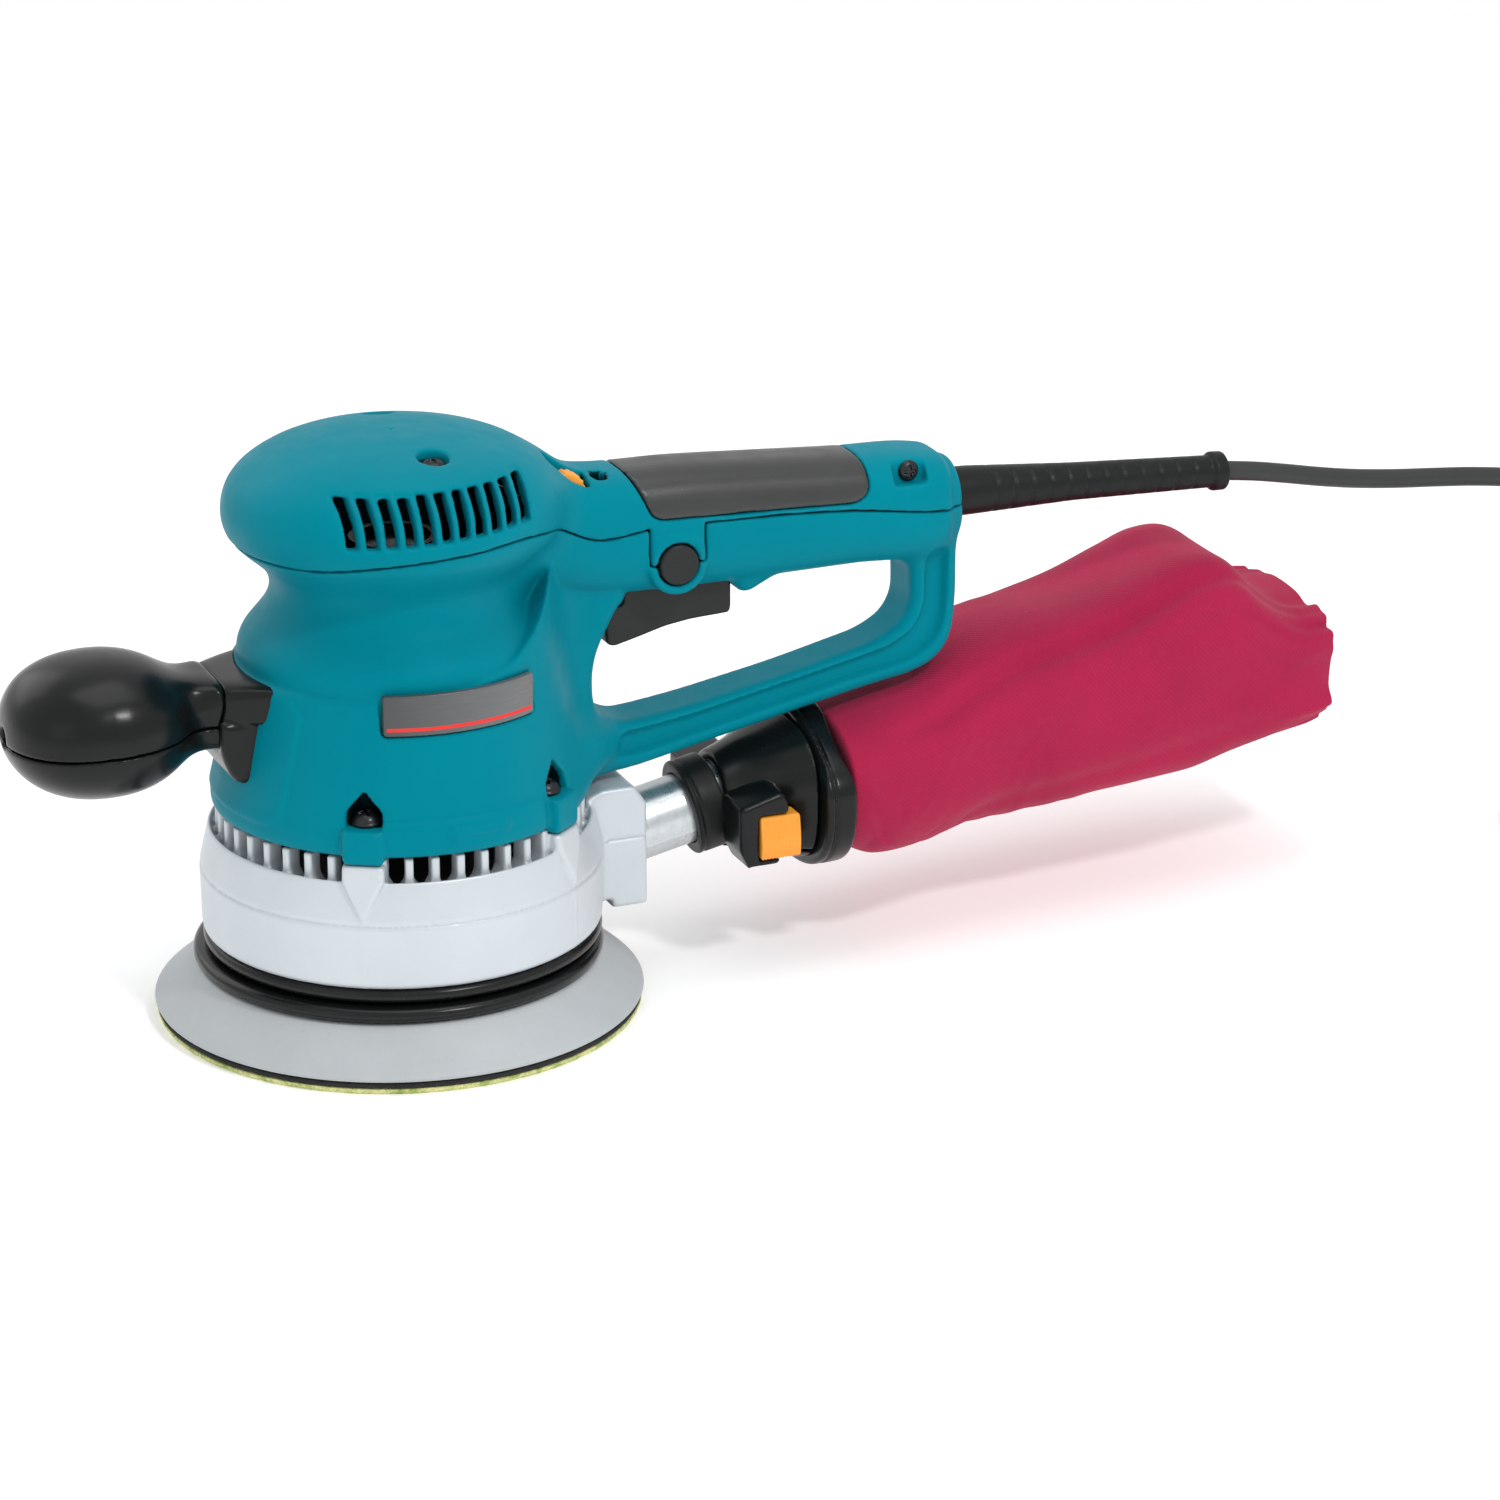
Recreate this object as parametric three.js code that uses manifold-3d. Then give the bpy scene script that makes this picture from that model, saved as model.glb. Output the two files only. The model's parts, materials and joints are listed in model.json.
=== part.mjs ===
// Random orbital sander, 150 mm pad: motor head with palm neck, D-handle, front knob,
// cast fan housing, eccentric pad, pull-off dust bag and a coiled mains cord.
// Millimetres. Z is the spindle direction, +X runs to the D-handle, -X to the front knob.
// The origin is on the spindle axis in the plane of the sanding face.
import * as THREE from 'three';
import { mergeVertices } from 'three/addons/utils/BufferGeometryUtils.js';
import Module from 'manifold-3d';

// ---- driving dimensions ----
const GAP = 0.3; // clearance between parts that rest on or sit in each other
const ORBIT = -1.5; // offset of the pad axis from the spindle axis, along X
const PAD_R = 75;
const PAD_FOOT_Z = 1.8; // top of the abrasive disc
const PAD_RIM_Z = 3.6;
const PAD_TOP_Z = 16.8;
const PAD_TOP_R = 61.5;
const DUST_HOLES = 6;
const DUST_HOLE_R = 4.5;
const DUST_HOLE_CIRCLE = 40;
const RING_TOP_Z = 22;
const CASTING_FOOT_Z = 27.5;
const CASTING_RIM_Z = 60.4;
const CASTING_R = 61.6;
const DECK_Z = 57;
const SKIRT_Z = 67.5; // lower edge of the motor housing
const WALL = 3;
const PART_HEAD_Z = 152; // parting plane between motor housing and top cover
const PART_GRIP_Z = 145.2; // the same plane along the handle
const PART_GAP = 0.15; // half the clearance at the parting
const FINS = 45;
const SCREW_ANGLES = [-29.5, 39.5]; // skirt screws, degrees from -Y towards +X
const SCREW_CIRCLE = 49.5;
const SCREW_SEAT_Z = 76.2; // floor of the niche that each skirt screw stands in
const VENTS = 11;
const VENT_PITCH = 5.1; // along X
const VENT_X = -24.5; // the first vent
const VENT_Z = 165.4; // middle of the first vent
const VENT_RISE = 0.28; // from each vent to the next
const VENT_W = 2.6;
const VENT_H = 15.5;
const VENT_LEAN = -12; // degrees
const PIPE_TILT = 12; // degrees that the dust outlet rises
const PIPE_AT = [81, 0, 46.5]; // a point on the pipe's axis
const PIPE_R = 11.2;
const CUFF_R = 15.2;
const KNOB_AT = [-93.3, 0, 102.3];
const KNOB_R = 28.3;
const KNOB_H = 21.6; // half height of the knob
const KNOB_SPLIT = -2.8; // the parting of its halves, below its middle
const CORD_R = 3.1;
const CORD_SIDES = 10;
const COIL_AT = [430, -30];
const COIL_R = 38; // centre line of the coil's bundle
const COIL_W = 9.4; // half width of the bundle
const COIL_H = 18.9;
const SEG = 32; // segments around the large turned parts

const COLOURS = {
  teal: [0x00869a, 0.42, 0],
  black: [0x262828, 0.5, 0],
  rubber: [0x1f2121, 0.75, 0],
  grip: [0x3a3c3b, 0.7, 0],
  silver: [0xc9cdd0, 0.42, 0.85],
  pipe: [0xbfc4c7, 0.35, 0.9],
  steel: [0x9a9da0, 0.35, 0.95],
  iron: [0x6f7275, 0.5, 0.8],
  copper: [0xb06a35, 0.35, 0.9],
  brass: [0xb9974a, 0.35, 0.9],
  grey: [0xb8bdc0, 0.62, 0],
  foam: [0x2b2c2b, 0.85, 0],
  grit: [0xb9b96a, 0.95, 0],
  orange: [0xf2a136, 0.5, 0],
  crimson: [0xab2c4e, 0.85, 0],
  badge: [0x55585a, 0.4, 0.3],
};

const wasm = await Module();
wasm.setup();

// ---- solid helpers ----
/** A manifold solid from a closed geometry. */
function solid(geometry) {
  const bare = geometry.index ? geometry.toNonIndexed() : geometry.clone();
  bare.deleteAttribute('normal');
  bare.deleteAttribute('uv');
  const g = mergeVertices(bare, 1e-4);
  return new wasm.Manifold(
    new wasm.Mesh({
      numProp: 3,
      vertProperties: new Float32Array(g.attributes.position.array),
      triVerts: new Uint32Array(g.index.array),
    }),
  );
}

/** A named mesh in one of the colours. */
function node(name, body, colour) {
  const [hex, roughness, metalness] = COLOURS[colour];
  const out = body.getMesh();
  const g = new THREE.BufferGeometry();
  g.setAttribute('position', new THREE.BufferAttribute(new Float32Array(out.vertProperties), 3));
  g.setIndex(new THREE.BufferAttribute(new Uint32Array(out.triVerts), 1));
  g.computeVertexNormals();
  const mesh = new THREE.Mesh(
    g,
    new THREE.MeshStandardMaterial({ color: hex, roughness, metalness }),
  );
  mesh.name = name;
  return mesh;
}

const rad = THREE.MathUtils.degToRad;
const unite = (parts) => parts.reduce((a, b) => a.add(b));

/** A solid of revolution about Z through (x, y), from [radius, height] pairs. */
function turned(profile, x = 0, y = 0, segments = SEG) {
  const g = new THREE.LatheGeometry(
    profile.map(([r, z]) => new THREE.Vector2(r, z)),
    segments,
  );
  g.rotateX(Math.PI / 2);
  g.translate(x, y, 0);
  const s = solid(g);
  return s.volume() < 0 ? solid(flipped(g)) : s;
}

/** The same geometry with its faces turned over. */
function flipped(geometry) {
  const g = geometry.clone();
  const index = g.index.array;
  for (let i = 0; i < index.length; i += 3) {
    [index[i], index[i + 1]] = [index[i + 1], index[i]];
  }
  return g;
}

/** A disc or washer from z0 to z1. */
function disc(r, z0, z1, x = 0, y = 0, inner = 0, segments = SEG) {
  const profile = inner
    ? [[inner, z0], [r, z0], [r, z1], [inner, z1], [inner, z0]]
    : [[0, z0], [r, z0], [r, z1], [0, z1]];
  return turned(profile, x, y, segments);
}

/** A box between two corners. */
function box(x0, y0, z0, x1, y1, z1) {
  const g = new THREE.BoxGeometry(x1 - x0, y1 - y0, z1 - z0);
  g.translate((x0 + x1) / 2, (y0 + y1) / 2, (z0 + z1) / 2);
  return solid(g);
}

/** A cylinder of radius r (r2 at its far end) from one point to another. */
function rod(from, to, r, r2 = r, segments = 24) {
  const a = new THREE.Vector3(...from);
  const b = new THREE.Vector3(...to);
  const g = new THREE.CylinderGeometry(r2, r, a.distanceTo(b), segments);
  g.translate(0, a.distanceTo(b) / 2, 0);
  g.applyQuaternion(
    new THREE.Quaternion().setFromUnitVectors(
      new THREE.Vector3(0, 1, 0),
      b.clone().sub(a).normalize(),
    ),
  );
  g.translate(...from);
  return solid(g);
}

/** An XZ outline pushed through Y from -half to half, with rounded long edges. */
function slab(outline, half, round = 0, y = 0) {
  const shape = new THREE.Shape(outline.map(([x, z]) => new THREE.Vector2(x, z)));
  const g = new THREE.ExtrudeGeometry(shape, {
    depth: 2 * (half - round),
    bevelEnabled: round > 0,
    bevelThickness: round,
    bevelSize: round,
    bevelOffset: -round,
    bevelSegments: 1,
    curveSegments: 4,
  });
  g.translate(0, 0, round - half);
  g.rotateX(Math.PI / 2);
  g.translate(0, y, 0);
  return solid(g);
}

/** A solid through rings along X: each section is [x, y, z, half width, half height, power]. */
function loft(sections, around = 24) {
  const ring = ([x, y, z, w, h, power = 2]) =>
    Array.from({ length: around }, (_, i) => {
      const a = (2 * Math.PI * i) / around;
      const c = Math.cos(a);
      const s = Math.sin(a);
      return [
        x,
        y + w * Math.sign(c) * Math.abs(c) ** (2 / power),
        z + h * Math.sign(s) * Math.abs(s) ** (2 / power),
      ];
    });
  const points = sections.flatMap(ring);
  const first = sections[0];
  const last = sections[sections.length - 1];
  points.push([first[0], first[1], first[2]], [last[0], last[1], last[2]]);
  const faces = [];
  for (let k = 0; k + 1 < sections.length; k += 1) {
    for (let i = 0; i < around; i += 1) {
      const a = k * around + i;
      const b = k * around + ((i + 1) % around);
      faces.push(a, b, a + around, b, b + around, a + around);
    }
  }
  const end = (sections.length - 1) * around;
  for (let i = 0; i < around; i += 1) {
    const j = (i + 1) % around;
    faces.push(points.length - 2, j, i, points.length - 1, end + i, end + j);
  }
  const g = new THREE.BufferGeometry();
  g.setAttribute('position', new THREE.Float32BufferAttribute(points.flat(), 3));
  g.setIndex(faces);
  const s = solid(g);
  return s.volume() < 0 ? solid(flipped(g)) : s;
}

/** A point at an angle from -Y towards +X, at radius r. */
function polar(angle, r, z) {
  return [r * Math.sin(rad(angle)), -r * Math.cos(rad(angle)), z];
}

/** A body turned about Z by an angle from -Y towards +X. */
const swung = (body, angle) => body.rotate([0, 0, angle]);

/** A point along the dust outlet's axis and a turn that lays things along it. */
function alongPipe(distance) {
  const [x, y, z] = PIPE_AT;
  return [x + distance * Math.cos(rad(PIPE_TILT)), y, z + distance * Math.sin(rad(PIPE_TILT))];
}

// ---- motor housing and top cover ----
const BODY_PROFILE = [
  [0, SKIRT_Z], [57, SKIRT_Z], [57.2, 71], [55.6, 78], [53.4, 90], [51, 102], [49.2, 112],
  [48, 117.5], [45.6, 121.5], [41.6, 125.5], [38.5, 130], [37.2, 135], [38.2, 139.5],
  [41.6, 143.8], [46.4, 148.2], [49.4, 152], [50.4, 157], [49.4, 162.4], [46.2, 168],
  [40.6, 173], [33.2, 176.8], [23.6, 179.8], [12, 181.4], [0, 181.8],
];
const ROOM_PROFILE = [
  [0, SKIRT_Z - 1], [53.6, SKIRT_Z - 1], [53.2, 74], [49.4, 92], [46, 110], [43.2, 119],
  [36.6, 127], [34, 134], [35.8, 141], [43.6, 149.5], [46.8, 157], [45, 163.6], [37, 171.4],
  [22, 176.8], [0, 178.4],
];
const GRIP_SECTIONS = [
  [16, 0, 147, 24, 20, 2.2], [44, 0, 146, 20, 19.6, 2.5], [64, 0, 143.6, 17.8, 19.2, 3],
  [90, 0, 142.8, 17, 19.4, 3], [116, 0, 142, 16.6, 18.6, 3], [146, 0, 141.2, 16.6, 17.4, 3],
  [171, 0, 140.6, 16.8, 16.6, 3], [179, 0, 141, 15.6, 14, 2.6], [183, 0, 141, 12, 10, 2.4],
];
const GRIP_ROOM = [
  [10, 0, 147, 16, 14.6, 2.6], [64, 0, 143.6, 14.6, 16, 2.8], [116, 0, 142, 13.6, 15.4, 2.8],
  [170, 0, 140.8, 13.8, 13, 2.8],
];
const LOOP_OUTLINE = [
  [40, 70], [60, 71], [92, 75], [126, 80.5], [152, 83.6], [166, 85.4], [173.5, 89.5],
  [178, 97], [179.4, 108], [179.8, 134], [165, 134], [165.2, 109], [162, 102.6], [154, 98],
  [124, 91], [92, 85.2], [76, 83.2], [66, 82.6], [58, 83.4], [40, 86],
];
const SPINE_OUTLINE = [
  [36, 73], [58.6, 73], [58.6, 98], [60.6, 107], [63.2, 112], [63.2, 131], [36, 131],
];
const TONGUE_OUTLINE = [
  [74.6, 152], [74.6, 131], [77.6, 127], [83.8, 125], [90, 127], [93, 131], [93, 152],
];
const HUMP_OUTLINE = [
  [106.8, 130], [107.2, 122.6], [110, 120.4], [114, 120.8], [119.6, 124.4], [120, 130],
];
const LOCK_AT = [83.8, 134.2]; // x, z of the lock button on the -Y side
const DIAL_AT = [51, -9, 159.4];
const GRIP_SCREW = [163.9, 154.5]; // x, z of the screw at the handle's rear

/** The round part of the housing, grown outwards by a clearance. */
function bodySpace(grow) {
  return turned(BODY_PROFILE.slice(0, 12).map(([r, z]) => [r ? r + grow : 0, z])
    .concat([[0, 139]]));
}

/** Everything above the parting, lifted by a clearance. */
function upperSpace(lift) {
  const high = 220;
  const step = slab(
    [
      [-80, PART_HEAD_Z + lift], [38, PART_HEAD_Z + lift], [52, PART_GRIP_Z + lift],
      [200, PART_GRIP_Z + lift], [200, high], [-80, high],
    ],
    90,
  );
  const tongue = slab(TONGUE_OUTLINE, 11.2, 0, -23.8);
  const fit = slab(
    TONGUE_OUTLINE.map(([x, z], i) => {
      const side = i < 3 ? -1 : 1;
      return [x + (i === 3 ? 0 : side * 2 * PART_GAP), z - 2 * PART_GAP];
    }),
    11.2,
    0,
    -23.8,
  );
  return step.add(lift > 0 ? tongue : fit);
}

/** The whole plastic shell, before it is parted. */
function shell() {
  const outside = unite([
    turned(BODY_PROFILE),
    loft(GRIP_SECTIONS, 24),
    slab(LOOP_OUTLINE, 10, 2.4),
    slab(SPINE_OUTLINE, 13, 2.4),
    slab(HUMP_OUTLINE, 10, 2),
    loft([[34, 0, 80, 30, 9, 3], [58, 0, 79, 20, 7, 3], [66, 0, 78.6, 12, 5, 2.6]], 20),
  ]);
  const inside = unite([
    turned(ROOM_PROFILE),
    loft(GRIP_ROOM, 16),
    box(72, -12.6, 127.2, 153, 12.6, 154),
    rod([160, 0, 141], [176.6, 0, 141], 10.4, 10.4, 20),
    rod([176, 0, 141], [190, 0, 141], 8.3, 8.3, 20),
  ]);
  return outside.subtract(inside);
}

/** x, y of the four skirt screws. */
function screwSpots() {
  const near = SCREW_ANGLES.map((a) => polar(a, SCREW_CIRCLE, 0));
  return [...near, ...near.map(([x, y]) => [x, -y])];
}

/** A block across a skirt screw's radius: half width, inner and outer radius, heights. */
function screwBlock([x, y], half, near, far, z0, z1) {
  const turn = (Math.atan2(x, -y) * 180) / Math.PI;
  return box(-half, -far, z0, half, -near, z1).rotate([0, 0, turn]);
}

function motorHousing(whole) {
  const trigger = box(63.7, -6.6, 104, 107, 6.6, 134);
  const badge = badgeBody(GAP);
  const base = disc(54.2, SKIRT_Z - 4, 72.4);
  const spots = screwSpots();
  const foot = SKIRT_Z - 1.2;
  const bosses = unite(spots.map(([x, y]) => disc(6.2, foot, 87, x, y, 0, 14)))
    .intersect(turned(BODY_PROFILE).add(disc(58, foot, SKIRT_Z + 1)))
    .add(unite(spots.map((spot) => screwBlock(spot, 5.6, 45, 58.4, foot, 77.4))));
  const niches = spots.map(([x, y]) =>
    disc(4.9, SCREW_SEAT_Z, 90, x, y, 0, 14)
      .add(disc(2.6, 60, 90, x, y, 0, 10))
      .add(screwBlock([x, y], 4.6, SCREW_CIRCLE, 62, SCREW_SEAT_Z, 85)),
  );
  const body = whole
    .subtract(upperSpace(-PART_GAP))
    .subtract(unite([trigger, badge, base]))
    .add(bosses)
    .subtract(unite(niches));
  const pin = rod([68.6, -13, 121.5], [68.6, 13, 121.5], 2.3, 2.3, 16);
  const lock = rod([LOCK_AT[0], -24, LOCK_AT[1]], [LOCK_AT[0], -7.5, LOCK_AT[1]], 6.9);
  return node('motor_housing', body.subtract(pin).subtract(lock), 'teal');
}

function topCover(whole) {
  const slots = [];
  for (let i = 0; i < VENTS; i += 1) {
    const slot = box(-VENT_W / 2, -60, -VENT_H / 2, VENT_W / 2, -22, VENT_H / 2)
      .rotate([0, VENT_LEAN, 0])
      .translate([VENT_X + i * VENT_PITCH, 0, VENT_Z + i * VENT_RISE]);
    slots.push(slot, slot.mirror([0, 1, 0]));
  }
  const dial = box(43.6, -12.4, 154, 58.4, -5.6, 180);
  const lock = rod([LOCK_AT[0], -24, LOCK_AT[1]], [LOCK_AT[0], 0, LOCK_AT[1]], 6.7);
  const screws = [-1, 1].flatMap((s) => [
    disc(4.4, 176.4, 190, 4.4, s * 25, 0, 14),
    disc(2.2, 150, 190, 4.4, s * 25, 0, 10),
  ]);
  const rear = rod([GRIP_SCREW[0], -26, GRIP_SCREW[1]], [GRIP_SCREW[0], -12.4, GRIP_SCREW[1]], 4);
  const body = whole
    .intersect(upperSpace(PART_GAP))
    .subtract(unite([...slots, dial, lock, rear, ...screws]))
    .subtract(inlaySpace(0));
  return node('top_cover', body, 'teal');
}

/** The part of the handle's top that the soft grip takes up. */
function inlaySpace(inset) {
  const outline = [
    [64.5 + inset, 190], [66 + inset, 166], [70 + inset, 158], [75.6 + inset, 150],
    [78 + inset, 148.8 + inset], [143 - inset, 147.4 + inset], [146.6 - inset, 150],
    [145 - inset, 160], [140 - inset, 190],
  ];
  const lined = GRIP_SECTIONS.map(([x, y, z, w, h, p]) => [
    x, y, z, w - 1.4 + inset, h - 1.4 + inset, p,
  ]);
  return slab(outline, 32).subtract(loft(lined, 24));
}

function gripInlay() {
  const full = loft(GRIP_SECTIONS, 24);
  return node('grip_inlay', full.intersect(inlaySpace(GAP)), 'grip');
}

/** A curved plate on the -Y side, grown by a clearance. */
function badgeBody(grow) {
  const r = 51.2 - 1.2;
  const tube = disc(r + 1.2 + 4 * grow, 103.2 - grow, 115.6 + grow, 0, 0, r - 2.2 - grow, 96);
  return tube.intersect(box(-20 - grow, -60, 100, 28 + grow, -30, 122));
}

// ---- fan housing, outlet and seals ----
function fanHousing() {
  const ringBody = turned([
    [52, CASTING_FOOT_Z], [60.4, CASTING_FOOT_Z], [60.9, 29], [61.2, 46.8], [CASTING_R, 48],
    [CASTING_R - 0.8, CASTING_RIM_Z - 1], [CASTING_R - 1.8, CASTING_RIM_Z], [58.4, CASTING_RIM_Z],
    [58.2, DECK_Z], [17, DECK_Z], [17, 53.6], [57, 53.6], [57, 33.5], [52, 33.5],
    [52, CASTING_FOOT_Z],
  ]);
  const hub = disc(21, 53.6, 69.6, 0, 0, 17, 24);
  const bossAngles = SCREW_ANGLES.flatMap((a) => [a, 180 - a]);
  const fins = [];
  for (let i = 0; i < FINS; i += 1) {
    const turn = (i * 360) / FINS;
    const beside = bossAngles.some((a) => Math.abs(((turn - a + 540) % 360) - 180) < 5);
    if (!beside) fins.push(swung(box(-1.4, -57.4, DECK_Z - 1, 1.4, -51, SKIRT_Z - 0.6), turn));
  }
  const posts = screwSpots().map(([x, y]) => disc(4.6, DECK_Z - 1, SKIRT_Z - 1.6, x, y, 0, 14));
  const seats = screwSpots().map((spot) =>
    screwBlock(spot, 6.6, 43, 60, SKIRT_Z - 1.6, SKIRT_Z + 1),
  );
  const outlet = slab(
    [[56, 28], [62.6, 28], [62.6, 25.2], [74.4, 25.2], [74.4, 61], [71, 64.2], [60, 64.2], [56, 62]],
    15.6,
    1.2,
  );
  const bore = rod(alongPipe(-40), alongPipe(4), PIPE_R + GAP, PIPE_R + GAP, 24);
  const screws = screwSpots().map(([x, y]) => disc(2.2, 40, 90, x, y, 0, 10));
  const body = unite([ringBody, hub, ...fins, ...posts, outlet])
    .subtract(bore)
    .subtract(unite([...screws, ...seats]));
  return node('fan_housing', body, 'silver');
}

function dustNozzle() {
  const pipe = rod(alongPipe(-17), alongPipe(24), PIPE_R, PIPE_R, 24).subtract(
    rod(alongPipe(-18), alongPipe(25), PIPE_R - 2, PIPE_R - 2, 24),
  );
  return node('dust_nozzle', pipe, 'pipe');
}

function dustSkirt() {
  const band = turned([
    [52.5, CASTING_FOOT_Z - GAP], [52.5, 24], [55, RING_TOP_Z + GAP], [59, RING_TOP_Z + GAP],
    [60.6, 23.6], [61, 25], [60.4, 26.6], [59, CASTING_FOOT_Z - GAP],
    [52.5, CASTING_FOOT_Z - GAP],
  ]);
  return node('dust_skirt', band, 'rubber');
}

// ---- pad ----
const dustHoles = (z0, z1) =>
  unite(
    Array.from({ length: DUST_HOLES }, (_, i) => {
      const [x, y] = polar((i * 360) / DUST_HOLES, DUST_HOLE_CIRCLE, 0);
      return disc(DUST_HOLE_R, z0, z1, ORBIT + x, y, 0, 12);
    }),
  );

function padParts() {
  const plate = turned(
    [
      [0, 5.2], [20, 5.2], [20, PAD_RIM_Z + GAP], [PAD_R - 0.6, PAD_RIM_Z + GAP],
      [PAD_R, PAD_RIM_Z + 0.8], [PAD_R, PAD_RIM_Z + 1.6], [PAD_TOP_R + 2, 14.6],
      [PAD_TOP_R, PAD_TOP_Z], [52, PAD_TOP_Z], [50, 9], [17.2, 9], [17.2, 21], [13.3, 21],
      [13.3, 10.2], [0, 10.2],
    ],
    ORBIT,
  );
  const boltHole = disc(3.3, 4, 12, ORBIT, 0, 0, 16);
  const ring = turned(
    [
      [53, PAD_TOP_Z + GAP], [PAD_TOP_R - 1.4, PAD_TOP_Z + GAP], [62.4, 18.2], [62.8, 19.6],
      [62.2, 21], [60.4, RING_TOP_Z], [53, RING_TOP_Z], [53, PAD_TOP_Z + GAP],
    ],
    ORBIT,
  );
  const cushion = disc(PAD_R - 0.7, PAD_FOOT_Z + GAP, PAD_RIM_Z, ORBIT, 0, 20.5);
  const sheet = turned(
    [[0, 0], [PAD_R - 1.6, 0], [PAD_R - 0.8, PAD_FOOT_Z], [0, PAD_FOOT_Z]],
    ORBIT,
    0,
    48,
  );
  const bolt = disc(6, 3.4, 4.9, ORBIT, 0, 0, 6).add(disc(3, 4, 22, ORBIT, 0, 0, 16));
  const bearing = disc(13, 10.5, 20.6, ORBIT, 0, 6.2, 24);
  return [
    node('pad_plate', plate.subtract(boltHole).subtract(dustHoles(0, 30)), 'grey'),
    node('pad_ring', ring, 'rubber'),
    node('pad_cushion', cushion.subtract(dustHoles(0, 30)), 'foam'),
    node('abrasive_disc', sheet.subtract(dustHoles(-1, 30)), 'grit'),
    node('pad_bolt', bolt, 'steel'),
    node('pad_bearing', bearing, 'steel'),
  ];
}

// ---- motor ----
function motorParts() {
  const shaft = turned([
    [0, 46], [7.7, 46], [7.7, 63], [5.7, 63], [5.7, 138.3], [3.7, 138.3], [3.7, 146.5], [0, 146.5],
  ], 0, 0, 24);
  const core = disc(17.5, 80, 116, 0, 0, 6, 36);
  const commutator = disc(11, 122, 134, 0, 0, 6, 24);
  const hubBody = turned([
    [0, 24.5], [20, 24.5], [20, 37], [0, 37],
  ], 0, 0, 24);
  const weight = disc(38, 30, 36, 0, 0, 10, 32).intersect(box(-40, -40, 20, -4, 40, 32));
  const stem = disc(6, 12, 26, ORBIT, 0, 0, 24);
  const boltSpace = disc(3.3, 8, 22.4, ORBIT, 0, 0, 16);
  const neck = disc(8, 36, 45.7, 0, 0, 0, 24);
  const hub = unite([hubBody, weight, stem, neck]).subtract(boltSpace);
  const blades = Array.from({ length: 9 }, (_, i) =>
    swung(box(-0.9, -50, 39, 0.9, -14, 51.5), i * 40),
  );
  const fan = unite([disc(50, 49.6, 51.6, 0, 0, 8.3, 32), disc(16, 38.6, 51, 0, 0, 8.3, 24), ...blades]);
  const core2 = disc(38, 80, 116, 0, 0, 32.4, 32);
  const poles = box(-13, -37, 80, 13, 37, 116).subtract(disc(19, 70, 120));
  const coils = (s) =>
    box(-18.6, s > 0 ? 20.4 : -26.3, 74, 18.6, s > 0 ? 26.3 : -20.4, 122).subtract(
      box(-13.3, -40, 79.7, 13.3, 40, 116.3),
    );
  return [
    node('armature_shaft', shaft, 'steel'),
    node('armature_core', core, 'iron'),
    node('commutator', commutator, 'copper'),
    node('eccentric_hub', hub, 'iron'),
    node('fan', fan, 'black'),
    node('stator_core', core2.add(poles), 'iron'),
    node('field_coil_near', coils(-1), 'copper'),
    node('field_coil_far', coils(1), 'copper'),
    node('lower_bearing', disc(16.7, 58, 68, 0, 0, 8, 24), 'steel'),
    node('upper_bearing', disc(11, 138.6, 146, 0, 0, 4, 24), 'steel'),
    node('bearing_bridge', bearingBridge(), 'black'),
    ...brushGear(-1, 'near'),
    ...brushGear(1, 'far'),
  ];
}

/** The moulded frame that holds the upper bearing in the neck. */
function bearingBridge() {
  const cup = disc(13.6, 137, 149, 0, 0, 11.3, 24);
  const arms = unite([0, 90, 180, 270].map((a) => swung(box(-3, -33, 137, 3, -12, 142), a + 45)));
  return cup.add(arms);
}

function brushGear(side, name) {
  const y0 = side * 14.5;
  const y1 = side * 32;
  const [lo, hi] = [Math.min(y0, y1), Math.max(y0, y1)];
  const holder = box(-5.5, lo, 123, 5.5, hi, 133).subtract(
    box(-3.3, Math.min(0, side * 31), 124.7, 3.3, Math.max(0, side * 31), 131.3),
  );
  const carbonEnds = [side * 11.3, side * 27];
  const carbon = box(-3, Math.min(...carbonEnds), 125, 3, Math.max(...carbonEnds), 131);
  return [
    node(`brush_holder_${name}`, holder, 'brass'),
    node(`brush_${name}`, carbon, 'foam'),
  ];
}

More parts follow.
